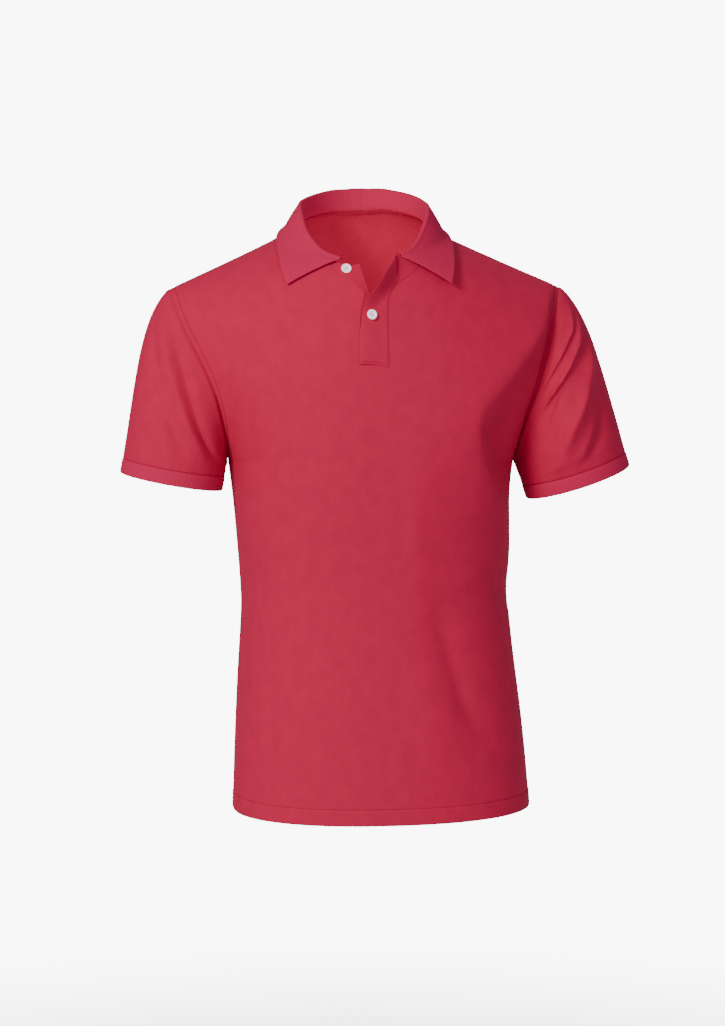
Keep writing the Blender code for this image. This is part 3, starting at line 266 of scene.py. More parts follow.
# On a sleeve a place is the way round, 0 at the underarm, 0.25 in front and 0.5 on the outside, and the way
# along, 0 at the armhole and 1 at the cuff
SLEEVE_FOLDS = (
    (-1, -0.0050, 0.012, 0.014, 0.5, (
        (0.40, 0.05, 0.2), (0.30, 0.30, 1.0), (0.20, 0.60, 1.0), (0.10, 0.82, 0.1))),
    (-1, 0.0030, 0.010, 0.010, 0.5, (
        (0.44, 0.12, 0.1), (0.34, 0.38, 1.0), (0.24, 0.66, 1.0), (0.15, 0.90, 0.1))),
    (-1, -0.0042, 0.014, 0.012, 0.5, (
        (0.48, 0.20, 0.1), (0.39, 0.45, 1.0), (0.29, 0.74, 1.0), (0.22, 0.95, 0.2))),
    (-1, -0.0040, 0.016, 0.014, 0.5, (
        (0.60, 0.10, 0.1), (0.70, 0.35, 1.0), (0.82, 0.65, 0.8), (0.90, 0.85, 0.1))),
    (-1, 0.0028, 0.014, 0.012, 0.6, (
        (0.56, 0.20, 0.1), (0.66, 0.50, 1.0), (0.76, 0.80, 0.6), (0.80, 0.95, 0.1))),
    (1, 0.0080, 0.045, 0.060, 0.5, (
        (0.37, 0.04, 0.5), (0.32, 0.30, 1.0), (0.28, 0.60, 1.0), (0.23, 0.92, 0.6))),
    (1, 0.0042, 0.012, 0.005, 0.2, (
        (0.435, 0.14, 0.6), (0.392, 0.20, 1.0), (0.335, 0.195, 1.0), (0.268, 0.155, 0.9),
        (0.205, 0.075, 0.1))),
    (1, 0.0060, 0.012, 0.008, 0.2, (
        (0.432, 0.245, 0.5), (0.380, 0.305, 1.0), (0.305, 0.32, 1.0), (0.235, 0.295, 0.9),
        (0.19, 0.27, 0.1))),
    (1, 0.0085, 0.020, 0.016, 0.2, (
        (0.425, 0.42, 0.4), (0.365, 0.52, 1.0), (0.31, 0.62, 1.0), (0.255, 0.72, 1.0),
        (0.20, 0.88, 0.3))),
    (1, -0.0024, 0.006, 0.006, 0.4, (
        (0.271, 0.40, 0.3), (0.227, 0.47, 1.0), (0.177, 0.645, 0.2))),
    (1, 0.0032, 0.008, 0.008, 0.3, (
        (0.330, 0.76, 0.3), (0.280, 0.87, 1.0), (0.240, 0.95, 0.4))),
    (1, -0.0045, 0.012, 0.014, 0.4, (
        (0.385, 0.66, 0.3), (0.354, 0.80, 1.0), (0.300, 0.895, 1.0), (0.26, 0.95, 0.3))),
    (1, -0.0045, 0.016, 0.014, 0.5, (
        (0.60, 0.08, 0.1), (0.71, 0.36, 1.0), (0.84, 0.70, 0.8), (0.92, 0.88, 0.1))),
    (1, 0.0030, 0.014, 0.012, 0.6, (
        (0.56, 0.22, 0.1), (0.65, 0.52, 1.0), (0.75, 0.82, 0.6), (0.79, 0.96, 0.1))),
)
SLEEVE_FADE = 0.10       # share of a sleeve's length over which its folds fade out at each end

# The collar: angle runs round the neck from the middle of the back, below 0 on the viewer's left; the leaf's
# free edge is a point in space
COLLAR_NAMES = ("angle", "stand", "edge_x", "edge_y", "edge_z")
COLLAR_ROWS = (
    # angle stand  edge_x   edge_y   edge_z
    (-154, 0.0025, -0.0970, -0.0820, -0.0670),
    (-146, 0.0028, -0.0988, -0.0745, -0.0610),
    (-138, 0.0042, -0.1000, -0.0660, -0.0550),
    (-125, 0.0100, -0.1020, -0.0480, -0.0400),
    (-110, 0.0158, -0.1030, -0.0250, -0.0260),
    (-100, 0.0198, -0.1022, -0.0100, -0.0195),
    (-90, 0.0236, -0.1000, 0.0050, -0.0150),
    (-75, 0.0238, -0.0935, 0.0265, -0.0118),
    (-60, 0.0228, -0.0850, 0.0460, -0.0100),
    (-45, 0.0220, -0.0690, 0.0645, -0.0082),
    (-30, 0.0217, -0.0500, 0.0790, -0.0070),
    (-15, 0.0222, -0.0255, 0.0865, -0.0062),
    (0, 0.0226, 0.0000, 0.0890, -0.0060),
    (15, 0.0220, 0.0255, 0.0865, -0.0062),
    (30, 0.0212, 0.0500, 0.0790, -0.0070),
    (45, 0.0218, 0.0690, 0.0645, -0.0082),
    (60, 0.0222, 0.0850, 0.0460, -0.0100),
    (75, 0.0219, 0.0935, 0.0265, -0.0118),
    (90, 0.0238, 0.1000, 0.0050, -0.0150),
    (100, 0.0262, 0.1022, -0.0100, -0.0195),
    (110, 0.0240, 0.1022, -0.0250, -0.0265),
    (125, 0.0172, 0.0988, -0.0480, -0.0415),
    (138, 0.0095, 0.0942, -0.0660, -0.0585),
    (146, 0.0062, 0.0912, -0.0745, -0.0670),
    (154, 0.0044, 0.0884, -0.0820, -0.0750),
)
COLLAR_END = 154
FOLD_RADIUS = 0.0022
STAND_LEAN = 0.0060      # how far the stand leans into the neck
LEAF_BULGE = 0.0035      # how far the leaf bows out between the fold and its free edge
LEAF_CLEAR = 0.0036      # from the body's outside to the middle of the leaf
RIGHT_LIFT = 0.0080      # how far the viewer's right leaf stands off the chest at its front end
LIFT_FROM = 105          # the angle where it begins to
COLLAR_ROUND = (0.0008, 0.55, 0.4)  # its rounding: how wide, how much thinner at its edge and at its ends
COLLAR_RIM = (0.0002, 0.0025, 0.0015)       # the rim along its edge: height, how far in, half width

# Buttons
BUTTONS = (
    # node, x, height of the row, how far out from the front, lean to the right, lean up, turn in degrees
    ("button_top", -0.0297, -0.0390, -0.0018, 0.24, 0.05, 20),
    ("button_lower", -0.0028, -0.1001, 0.0041, 0.30, 0.08, 38),
)
BUTTON_PROFILE = (
    # its section, from the middle of the dish out and round to the underside: share of its radius and height
    (0, 0.66), (0.52, 0.66), (0.64, 0.70), (0.70, 0.84), (0.76, 0.96), (0.84, 1.0), (0.92, 0.95),
    (0.975, 0.82), (1.0, 0.62), (0.985, 0.36), (0.93, 0.14), (0.82, 0.0), (0, 0),
)
HOLE_REACH = 0.0018      # from the button's middle to the middle of a hole
HOLE_RADIUS = 0.0009
THREAD_REACH = 0.0017    # from the button's middle to where a thread goes down
DISH_HEIGHT = 0.66       # share of the button's height

# Patterns, in metres across and along the cloth
YARN_FLECK = (0.0007, 0.0010)
DYE_CLOUD = (0.016, 0.024)
RIB_FLECK = (0.0011, 0.0022)
RIB_LOOP = 0.0011
THREAD_TWIST = 0.0012
PEARL_SWIRL = 0.006

# The studio: the camera stands a little to the left of the shirt's front, and looks a little down
CAMERA_AWAY = 3.5
CAMERA_HEIGHT = 0.10
CAMERA_TURN = 6.5        # degrees
CAMERA_DIP = 7.26        # degrees
SENSOR_HEIGHT = 36       # millimetres
LENS = 102.35            # millimetres
FLOOR_HEIGHT = -1.45
FLOOR_HALF = 20
FLOOR_FADE = (0.9, 2.2)  # how far out the paper begins to run out, and where it is gone
WORLD_LIGHT = (0.41, 0.44, 0.56, 1.0)
WORLD_SEEN = (9.0, 9.0, 9.0, 1.0)
LIGHTS = (
    # name, place, what it points at, width and length, power
    ("key", (-2.65, -2.8, 1.7), (0, 0, -0.3), (1.1, 1.1), 170),
    ("fill", (0.1, -3.5, 0.5), (0, 0, -0.35), (1.8, 1.8), 38),
    ("inside", (0.0, -0.06, -0.21), (0.0, 0.10, -0.02), (0.12, 0.06), 0.34),
)


def linear(hex_colour):
    """An sRGB colour such as B92F4D as linear red, green and blue."""
    channels = [int(hex_colour[k:k + 2], 16) / 255 for k in (0, 2, 4)]
    return tuple(c / 12.92 if c <= 0.04045 else ((c + 0.055) / 1.055) ** 2.4 for c in channels)


class ShirtSizes(bpy.types.PropertyGroup):
    """Sizes of the cloth and the sewing."""
    cloth: FloatProperty(name="Cloth", description="Thickness of the knit", default=0.0014, unit="LENGTH")
    rib: FloatProperty(name="Rib", description="Thickness of collar and cuffs", default=0.0018,
                       unit="LENGTH")
    placket: FloatProperty(name="Placket", description="Thickness of a doubled strip", default=0.0016,
                           unit="LENGTH")
    hem: FloatProperty(name="Hem", description="Height of the turned hem", default=0.020, unit="LENGTH")
    cuff: FloatProperty(name="Cuff", description="Width of a sleeve's ribbed cuff", default=0.017,
                        unit="LENGTH")
    lap: FloatProperty(name="Lap", description="How far sewn pieces run into each other", default=0.0003,
                       unit="LENGTH")
    stitch: FloatProperty(name="Stitch", description="Length of a stitch with its gap", default=0.0030,
                          unit="LENGTH")
    thread: FloatProperty(name="Thread", description="Thickness of the sewing thread", default=0.00045,
                          unit="LENGTH")
    cell: FloatProperty(name="Knit cell", description="Width of one raised cell of the knit", default=0.0012,
                        unit="LENGTH")
    rib_pitch: FloatProperty(name="Rib pitch", description="From one rib to the next", default=0.0026,
                             unit="LENGTH")
    button: FloatProperty(name="Button", description="Width of a button", default=0.0120, unit="LENGTH")
    button_height: FloatProperty(name="Button height", description="Thickness of a button", default=0.0026,
                                 unit="LENGTH")


class ShirtColours(bpy.types.PropertyGroup):
    """Colours of the cloth, the thread and the buttons."""
    knit: FloatVectorProperty(name="Knit", description="Crimson of the body and sleeves", subtype="COLOR",
                              default=linear("B00E36"), min=0, max=1)
    rib: FloatVectorProperty(name="Rib", description="Crimson of the collar and cuffs", subtype="COLOR",
                             default=linear("B2163E"), min=0, max=1)
    thread: FloatVectorProperty(name="Thread", description="Crimson of the sewing thread", subtype="COLOR",
                                default=linear("980C2E"), min=0, max=1)
    button: FloatVectorProperty(name="Button", description="Pearly white of the buttons", subtype="COLOR",
                                default=linear("F8E2E5"), min=0, max=1)
    floor: FloatVectorProperty(name="Floor", description="Paper of the floor", subtype="COLOR",
                               default=linear("F6F6F6"), min=0, max=1)


class ShirtSteps(bpy.types.PropertyGroup):
    """How finely the grids are made."""
    along: IntProperty(name="Along", description="Steps in each of the table's rows", default=9, min=2)
    across: IntProperty(name="Across", description="Steps from the middle to the side", default=64, min=8)
    sleeve: IntProperty(name="Sleeve", description="Steps along a sleeve", default=72, min=8)
    collar: IntProperty(name="Collar", description="Stations on each side of the collar", default=110,
                        min=12)


def sizes():
    return bpy.context.scene.shirt_sizes


def colours():
    return bpy.context.scene.shirt_colours


def steps():
    return bpy.context.scene.shirt_steps


def column(table, names, name):
    """One named column of a table, as an array."""
    return np.array([row[names.index(name)] for row in table], dtype=float)


def unit(vectors):
    """The vectors made one long."""
    return vectors / np.linalg.norm(vectors, axis=-1, keepdims=True)


def smooth(knots, values, at):
    """A smooth curve through the values that never overshoots them."""
    knots = np.asarray(knots, dtype=float)
    values = np.asarray(values, dtype=float)
    at = np.asarray(at, dtype=float)
    gaps = np.diff(knots)
    slopes = np.diff(values) / gaps
    tangents = np.empty_like(values)
    tangents[0] = slopes[0]
    tangents[-1] = slopes[-1]
    for k in range(1, len(values) - 1):
        before = slopes[k - 1]
        after = slopes[k]
        tangents[k] = 0.0 if before * after <= 0 else 2 * before * after / (before + after)
    index = np.clip(np.searchsorted(knots, at, side="right") - 1, 0, len(knots) - 2)
    gap = gaps[index]
    part = (at - knots[index]) / gap
    rise = part * part * (3 - 2 * part)
    start = part * (1 - part) ** 2 * gap
    stop = -part * part * (1 - part) * gap
    return (values[index] * (1 - rise) + values[index + 1] * rise
            + tangents[index] * start + tangents[index + 1] * stop)


def eased(knots, values, at, low, high):
    """The smooth curve averaged over a short stretch, so that its bends run into each other."""
    reach = np.minimum(EASE, np.minimum(at - low, high - at))
    total = 0
    for share, weight in ((-1, 1), (-0.5, 4), (0, 6), (0.5, 4), (1, 1)):
        total = total + weight * smooth(knots, values, at + share * reach)
    return total / 16


def body_value(name, row):
    """A column of the body's table at any row; the edge may turn a corner at the underarm."""
    values = column(BODY_ROWS, ROW_NAMES, name)
    row = np.asarray(row, dtype=float)
    if name in ("mid_x", "mid_y", "mid_z", "turn"):
        return eased(range(len(values)), values, row, 0, BACK_HEM)
    corners = (0, FRONT_UNDERARM, BACK_UNDERARM, BACK_HEM)
    result = np.zeros_like(row)
    for low, high in zip(corners[:-1], corners[1:]):
        inside = (row >= low) & (row <= high)
        part = eased(range(low, high + 1), values[low:high + 1], np.clip(row, low, high), low, high)
        result = np.where(inside, part, result)
    return result


def fall(sine):
    """How far a squarish ellipse has fallen back where its sideways reach is this sine."""
    return 1 - np.maximum(1 - sine ** BOXY, 0) ** (1 / BOXY)


def across_at(row, side, x):
    """Where on a row, from 0 in the middle to 1 at the edge, the shirt is at x."""
    middle = body_value("mid_x", row)
    edge = body_value("right_x" if side > 0 else "left_x", row)
    turn = np.radians(body_value("turn", row))
    sine = np.clip((x - middle) / (edge - middle), -1, 1) * np.sin(turn)
    return np.arcsin(sine) / turn


def ramp(value, low, high):
    """0 up to low and 1 from high on, with a soft start and stop."""
    part = np.clip((value - low) / (high - low), 0, 1)
    return part * part * (3 - 2 * part)


def neck_rise(row, side, x):
    """How far the cloth stands up beside the neck."""
    x = np.abs(x)
    middle = NECK_RISE[0]
    height = middle + (NECK_RISE[2 if side > 0 else 1] - middle) * ramp(x, 0, NECK_RISE_X[0])
    start, full, kept, gone = NECK_RISE_ROWS
    return height * (1 - ramp(x, *NECK_RISE_X[1:])) * ramp(row, start, full) * (1 - ramp(row, kept, gone))


def body_form(row, side, across):
    """The body's outside without its folds: row counts the table's rows."""
    row, across = np.broadcast_arrays(np.asarray(row, float), np.asarray(across, float))
    middle = np.stack([body_value(name, row) for name in ("mid_x", "mid_y", "mid_z")], axis=-1)
    edge_x = body_value("right_x" if side > 0 else "left_x", row)
    turn = np.radians(body_value("turn", row))
    sine = np.sin(np.abs(across) * turn) * np.sign(across)
    reach = sine / np.sin(turn)
    drop = fall(np.abs(sine)) / fall(np.sin(turn))
    slope = np.abs(reach) ** (SHOULDER_BOW + turn / math.radians(90))
    x = middle[..., 0] + (edge_x - middle[..., 0]) * reach
    y = middle[..., 1] + (body_value("edge_y", row) - middle[..., 1]) * drop
    z = middle[..., 2] + (body_value("edge_z", row) - middle[..., 2]) * slope + neck_rise(row, side, x)
    return np.stack([x, y, z], axis=-1)


def body_normal(row, side, across):
    """The outward direction of the body's outside."""
    step = 0.004
    row = np.clip(row, step, BACK_HEM - step)
    across = np.minimum(across, 1 - step)
    along = body_form(row + step, side, across) - body_form(row - step, side, across)
    sideways = body_form(row, side, across + step) - body_form(row, side, across - step)
    return unit(np.cross(sideways, along)) * side


def finer(points, count):
    """A smooth curve through the points, with this many steps between each two."""
    points = np.asarray(points, dtype=float)
    knots = range(len(points))
    at = np.linspace(0, len(points) - 1, (len(points) - 1) * count + 1)
    return np.stack([smooth(knots, points[:, k], at) for k in range(points.shape[1])], axis=1)


def fold_height(a, b, fold, scale=(1, 1)):
    """A fold's height at places a and b: full on its line, and falling away on both sides of it."""
    curve = finer(fold["line"], 4) * np.array([scale[0], scale[1], 1])
    nearest = np.full(a.shape, np.inf)
    strength = np.zeros(a.shape)
    port = np.zeros(a.shape, dtype=bool)
    for (ax, ay, a_strength), (bx, by, b_strength) in zip(curve[:-1], curve[1:]):
        length = math.hypot(bx - ax, by - ay)
        along = np.clip(((a - ax) * (bx - ax) + (b - ay) * (by - ay)) / length ** 2, 0, 1)
        away = np.hypot(a - ax - along * (bx - ax), b - ay - along * (by - ay))
        closer = away < nearest
        nearest = np.where(closer, away, nearest)
        strength = np.where(closer, a_strength + along * (b_strength - a_strength), strength)
        port = np.where(closer, (bx - ax) * (b - ay) - (by - ay) * (a - ax) > 0, port)
    away = nearest / np.where(port, fold["port"], fold["starboard"])
    return fold["height"] * strength * np.exp(-2 * (np.sqrt(away ** 2 + fold["soft"] ** 2) - fold["soft"]))


def body_points(row, side, across):
    """The body's outside with its folds, and its outward directions."""
    points = body_form(row, side, across)
    normals = body_normal(row, side, across)
    row = np.broadcast_to(row, points.shape[:-1])
    across = np.broadcast_to(across, points.shape[:-1])
    fade = np.clip((1 - across) / EDGE_FADE, 0, 1) * np.clip(np.abs(row - SHOULDER) / SHOULDER_FADE, 0, 1)
    height = np.zeros(points.shape[:-1])
    for values in BODY_FOLDS:
        fold = dict(zip(FOLD_NAMES, values))
        on_panel = (row <= SHOULDER) == (fold["where"] == "front")
        if on_panel.any():
            height = height + np.where(on_panel, fold_height(points[..., 0], points[..., 2], fold), 0)
    return points + normals * (height * fade)[..., None], normals


def neck_distance(points):
    """Below 0 inside the neckline seen from above."""
    across = points[..., 0] / NECK_HALF_WIDTH
    along = (points[..., 1] - NECK_MIDDLE_Y) / NECK_HALF_DEPTH
    return across ** 2 + along ** 2 - 1


def bisect(function, low, high):
    """Where an array of functions changes sign."""
    low = np.array(low, dtype=float)
    high = np.array(high, dtype=float)
    for _ in range(40):
        middle = (low + high) / 2
        inside = function(middle) < 0
        low = np.where(inside, middle, low)
        high = np.where(inside, high, middle)
    return (low + high) / 2


def neck_across(row, side):
    """Where each row meets the neckline, or 0 if it passes below it."""
    row = np.asarray(row, dtype=float)
    crosses = neck_distance(body_form(row, side, np.zeros_like(row))) < 0
    found = bisect(lambda across: neck_distance(body_form(row, side, across)), np.zeros_like(row),
                   np.full_like(row, 0.9))
    return np.where(crosses, found, 0)


def row_at_height(height):
    """The front row whose middle is at this height."""
    return bisect(lambda row: body_value("mid_z", row) - height, np.zeros_like(height),
                  np.full_like(height, SHOULDER))


def front_form_at(rows, x):
    """The front's points, without folds, where its rows are at x."""
    left = body_form(rows, -1, across_at(rows, -1, x))
    right = body_form(rows, 1, across_at(rows, 1, x))
    return np.where((x < body_value("mid_x", rows))[..., None], left, right)


def front_at(rows, x):
    """The front's points and outward directions where its rows are at x."""
    rows, x = np.broadcast_arrays(rows, x)
    left = body_points(rows, -1, across_at(rows, -1, x))
    right = body_points(rows, 1, across_at(rows, 1, x))
    on_left = (x < body_value("mid_x", rows))[..., None]
    return np.where(on_left, left[0], right[0]), np.where(on_left, left[1], right[1])


def placket_value(name, row):
    """A column of the placket's table at a row of the front."""
    heights = column(PLACKET_ROWS, PLACKET_NAMES, "height")
    values = column(PLACKET_ROWS, PLACKET_NAMES, name)
    height = np.clip(body_value("mid_z", row), heights[0], heights[-1])
    return smooth(heights, values, height)


def open_value(name, row):
    """A column of the open top's table at a row of the front."""
    heights = column(OPEN_ROWS, OPEN_NAMES, "height")
    height = np.clip(body_value("mid_z", row), heights[0], heights[-1])
    return smooth(heights, column(OPEN_ROWS, OPEN_NAMES, name), height)


def over_lift(rows, share):
    """How far the over strip's free edge, at share 0, stands up off the chest where the neck is open."""
    left = np.clip(1 - share / open_value("over_width", rows), 0, 1)
    return open_value("over", rows) * left ** OPEN_CURVE


def under_lift(rows, share):
    """How far the under strip's free edge, at share 1, sinks where the neck is open."""
    return open_value("under", rows) * share ** OPEN_CURVE


def neck_row(outside):
    """The row whose middle just touches the neckline, between the shoulder and a row outside the neck."""
    def distance(row):
        return neck_distance(body_form(row, 1, np.zeros_like(row)))
    return float(bisect(distance, np.array(SHOULDER), np.array(outside)))


def refine(stops, count):
    """The stops with each gap between them cut into this many."""
    at = np.linspace(0, len(stops) - 1, (len(stops) - 1) * count + 1)
    return np.interp(at, np.arange(len(stops)), stops)


@functools.lru_cache(maxsize=None)
def low_rows(hem_row, underarm):
    """Rows from the hem to the underarm, closest at the hem's fold and at its stitches."""
    hem = sizes().hem
    by_fold = np.array([0, 0.0004, 0.001, 0.002, 0.004, 0.007, 0.011, 0.015])
    by_stitches = hem + np.array([-0.0025, -0.0015, -0.0008, -0.0003, 0, 0.0003, 0.0008, 0.0016, 0.0030])
    turned = np.abs(hem_row - row_at_height(HEM_Z + np.concatenate([by_fold, by_stitches])))
    rest = np.linspace(turned[-1], underarm, 7 * steps().along + 1)[1:-1]
    return np.concatenate([turned, rest])


def seam_top_row(seam):
    """The row where a placket seam meets the neckline."""
    def inside(row):
        return -neck_distance(front_form_at(row, placket_value(seam, row)))
    return float(bisect(inside, np.array(FRONT_UNDERARM), np.array(SHOULDER)))


@functools.lru_cache(maxsize=None)
def front_armhole_rows():
    """Rows from the underarm to the shoulder; the slit's foot and the placket seams' tops are among them."""
    foot = float(row_at_height(np.array(WINDOW_FOOT)))
    tops = sorted(seam_top_row(seam) for seam in ("under_seam", "over_seam"))
    stops = [FRONT_UNDERARM, 6.5, 7, 7.6, foot, 8.7, 9.3, 9.8, 10.2, *tops, 11.5, 12, 12.5, SHOULDER]
    return refine(sorted(stops), max(2, steps().along // 2))


@functools.lru_cache(maxsize=None)
def back_armhole_rows():
    """Rows from the underarm to the shoulder, closest where the neckline is level."""
    lowest = neck_row(BACK_UNDERARM)
    low = np.linspace(BACK_UNDERARM, lowest, 5 * steps().along + 1)
    part = np.linspace(0, 1, neck_steps() + 1)
    rising = lowest + (SHOULDER - lowest) * (1 - np.cos(part * math.pi / 2))
    return np.concatenate([low, rising[1:]])


def neck_steps():
    """Back rows from the neckline's lowest point to the shoulder."""
    return 3 * steps().along


@functools.lru_cache(maxsize=None)
def sleeve_ring(side):
    """The armhole: underarm, up the front, over the shoulder, down the back; the last point is the first."""
    rows = np.concatenate([front_armhole_rows(), back_armhole_rows()[::-1][1:]])
    return body_form(rows, side, np.ones_like(rows)), body_normal(rows, side, np.ones_like(rows))


def cuff_frame(side):
    """The cuff's lower end: its centre, its half widths and the sleeve's direction there."""
    size = dict(zip(SLEEVE_NAMES, next(row for row in SLEEVE_ROWS if row[0] == side)))
    inner = np.array([size["cuff_in_x"], size["cuff_y"], size["cuff_in_z"]])
    outer = np.array([size["cuff_out_x"], size["cuff_y"], size["cuff_out_z"]])
    outward = outer - inner
    half_width = np.linalg.norm(outward) / 2
    outward = outward / (2 * half_width)
    forward = np.array([0.0, -1.0, 0.0])
    down = np.cross(outward, forward) * side
    return (inner + outer) / 2, outward * half_width, forward * size["cuff_depth"], down


def round_share(points):
    """Each ring point's share of the way round, by length, with the shoulder at a half."""
    gaps = np.linalg.norm(np.diff(points, axis=0), axis=1)
    half = len(front_armhole_rows()) - 1
    front = np.concatenate([[0], np.cumsum(gaps[:half])])
    back = np.concatenate([[0], np.cumsum(gaps[half:])])
    return np.concatenate([front / front[-1] * 0.5, 0.5 + back[1:] / back[-1] * 0.5])


def cuff_ring(side, share, raised):
    """Points round the cuff at these shares of the way, this far above its lower end."""
    centre, outward, forward, down = cuff_frame(side)
    angle = 2 * math.pi * share
    ring = centre - np.cos(angle)[:, None] * outward + np.sin(angle)[:, None] * forward
    return ring - down * raised


def sleeve_form(side, along):
    """The sleeve's outside: one ring of points for each share of the way along it."""
    ring, _ = sleeve_ring(side)
    share = round_share(ring)
    end = cuff_ring(side, share, sizes().cuff)
    _, _, _, down = cuff_frame(side)
    top = (1 - np.cos(2 * math.pi * share)) / 2
    front = np.sin(2 * math.pi * share)
    sideways = side * (LEAVE_SIDEWAYS[0] + LEAVE_SIDEWAYS[1] * top)
    upward = LEAVE_UPWARD[0] + LEAVE_UPWARD[1] * top
    leave = unit(np.stack([sideways, -LEAVE_FORWARD * front, upward], axis=-1))
    leave = leave * (LEAVE_LENGTH[0] + LEAVE_LENGTH[1] * top)[:, None]
    arrive = ARRIVE_LENGTH[0] + ARRIVE_LENGTH[1] * top + ARRIVE_FRONT * np.abs(front)
    arrive = down * arrive[:, None]
    along = np.asarray(along)[:, None, None]
    return ((1 - along) ** 3 * ring + 3 * (1 - along) ** 2 * along * (ring + leave)
            + 3 * (1 - along) * along ** 2 * (end - arrive) + along ** 3 * end)


def grid_normals(points, wrap):
    """Directions square to a grid of points; wrap joins the last column to the first."""
    along = np.gradient(points, axis=0)
    if wrap:
        padded = np.concatenate([points[:, -2:-1], points, points[:, 1:2]], axis=1)
        across = (padded[:, 2:] - padded[:, :-2]) / 2
    else:
        across = np.gradient(points, axis=1)
    return unit(np.cross(across, along))


def sleeve_points(side, along):
    """The sleeve's outside with its folds, and its outward directions."""
    points = sleeve_form(side, along)
    normals = grid_normals(points, True) * -side
    share = round_share(sleeve_ring(side)[0])[None, :]
    along = np.asarray(along)[:, None]
    round_way, long_way = np.broadcast_arrays(share * SLEEVE_GIRTH, along * SLEEVE_LENGTH)
    height = np.zeros(points.shape[:-1])
    for values in SLEEVE_FOLDS:
        fold = dict(zip(FOLD_NAMES, values))
        if fold["where"] == side:
            height = height + fold_height(round_way, long_way, fold, (SLEEVE_GIRTH, SLEEVE_LENGTH))
    fade = np.clip(along / SLEEVE_FADE, 0, 1) * np.clip((1 - along) / SLEEVE_FADE, 0, 1)
    return points + normals * (height * fade)[..., None], normals


@functools.lru_cache(maxsize=None)
def seam_directions(side):
    """Wall directions at the armhole, of the body and of the sleeve; they agree where the seam is smooth."""
    _, body = sleeve_ring(side)
    _, sleeve = sleeve_points(side, np.linspace(0, 1, 12))
    sleeve = sleeve[0]
    agreement = np.sum(body * sleeve, axis=1, keepdims=True)
    weight = np.clip((agreement - 0.2) / 0.5, 0, 1)
    shared = unit(body + sleeve + 1e-9)
    return unit(body * (1 - weight) + shared * weight), unit(sleeve * (1 - weight) + shared * weight)


def lengths(points, axis):
    """The way along a grid, in metres, from its first row or column."""
    gaps = np.linalg.norm(np.diff(points, axis=axis), axis=-1)
    start = np.zeros_like(np.take(gaps, [0], axis=axis))
    return np.concatenate([start, np.cumsum(gaps, axis=axis)], axis=axis)


def bell(distance, width):
    """1 where the distance is 0, falling away softly over the width on both sides."""
    return np.exp(-(distance / width) ** 2)


def dip(distance, groove):
    """How far the cloth is drawn in beside a seam or under a row of stitches."""
    width, depth = GROOVES[groove]
    return -depth * bell(distance, width)


def below(height, limit, blur):
    """1 below a limit and 0 above it, blurred between."""
    return 0.5 - 0.5 * np.tanh((height - limit) / (2 * blur))


def wobble(at, seed):
    """An uneven wave between about -1 and 1, the same on each run."""
    waves = ((1, 1, 0.3 + seed), (0.6, 1.73, 1.9 + 2 * seed), (0.4, 2.91, 4.1 + 3 * seed))
    return sum(size * np.sin(at * pace + phase) for size, pace, phase in waves) / 2


def make_wall(name, outer, inner, places, keep=None):
    """A closed wall between two grids of points, with the cloth's own places, in metres, as its UV map.
    keep says which of the grid's faces are there."""
    rows, columns = outer.shape[:2]
    if keep is None:
        keep = np.ones((rows - 1, columns - 1), dtype=bool)
    mesh = bmesh.new()
    cloth = mesh.loops.layers.uv.new("cloth")
    pairs = {}

    def pair(corner):
        """The outer and inner vertex of a grid corner; corners in the same place share them."""
        place = tuple(np.round(outer[corner], 6))
        if place not in pairs:
            pairs[place] = (mesh.verts.new(outer[corner]), mesh.verts.new(inner[corner]))
        return pairs[place]

    def face(vertices, corners):
        """A face, with the cloth's place at each of its corners."""
        made = mesh.faces.new(vertices)
        made.smooth = True
        for loop, corner in zip(made.loops, corners):
            loop[cloth].uv = places[corner]

    edges = {}
    for i, j in np.argwhere(keep):
        corners = []
        grid = []
        for corner in ((i, j), (i, j + 1), (i + 1, j + 1), (i + 1, j)):
            if pair(corner) not in corners:
                corners.append(pair(corner))
                grid.append(corner)
        if len(corners) < 3:
            continue
        face([outside for outside, _ in corners], grid)
        face([inside for _, inside in reversed(corners)], grid[::-1])
        for k in range(len(corners)):
            edges[corners[k - 1], corners[k]] = (grid[k - 1], grid[k])
    for (start, stop), (start_corner, stop_corner) in edges.items():
        if (stop, start) not in edges:
            face([stop[0], start[0], start[1], stop[1]],
                 [stop_corner, start_corner, start_corner, stop_corner])
    return finish_mesh(name, mesh)


def finish_mesh(name, mesh, sharp=55):
    """Makes a smooth object of a mesh, with sharp edges from this angle on, in degrees."""
    bmesh.ops.recalc_face_normals(mesh, faces=mesh.faces[:])
    data = bpy.data.meshes.new(name)
    mesh.to_mesh(data)
    mesh.free()
    data.shade_smooth()
    data.set_sharp_from_angle(angle=math.radians(sharp))
    thing = bpy.data.objects.new(name, data)
    bpy.context.scene.collection.objects.link(thing)
    return thing


def declare(thing):
    """Returns the piece as it is; it marks nothing on it."""
    return thing


def dress(thing, material, slot, *nodes):
    """Gives a piece its material and its place in the frame; nodes are the solids it stands for."""
    thing.data.materials.append(material)
    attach(thing, "root")
    if nodes:
        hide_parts(*nodes)
    return thing


def add_node(tree, kind, inputs=None, **settings):
    """Adds a shader node; an input is a number, a colour or another node's output."""
    node = tree.nodes.new("ShaderNode" + kind)
    for name, value in settings.items():
        setattr(node, name, value)
    for socket, value in (inputs or {}).items():
        if isinstance(value, bpy.types.NodeSocket):
            tree.links.new(value, node.inputs[socket])
        else:
            node.inputs[socket].default_value = value
    return node


def new_material(name, roughness, **sockets):
    """A material with its Principled shader; sockets are values of the shader's own inputs."""
    material = bpy.data.materials.new(name)
    material.use_nodes = True
    shader = material.node_tree.nodes["Principled BSDF"]
    shader.inputs["Roughness"].default_value = roughness
    for socket, value in sockets.items():
        shader.inputs[socket.replace("_", " ")].default_value = value
    return material, shader


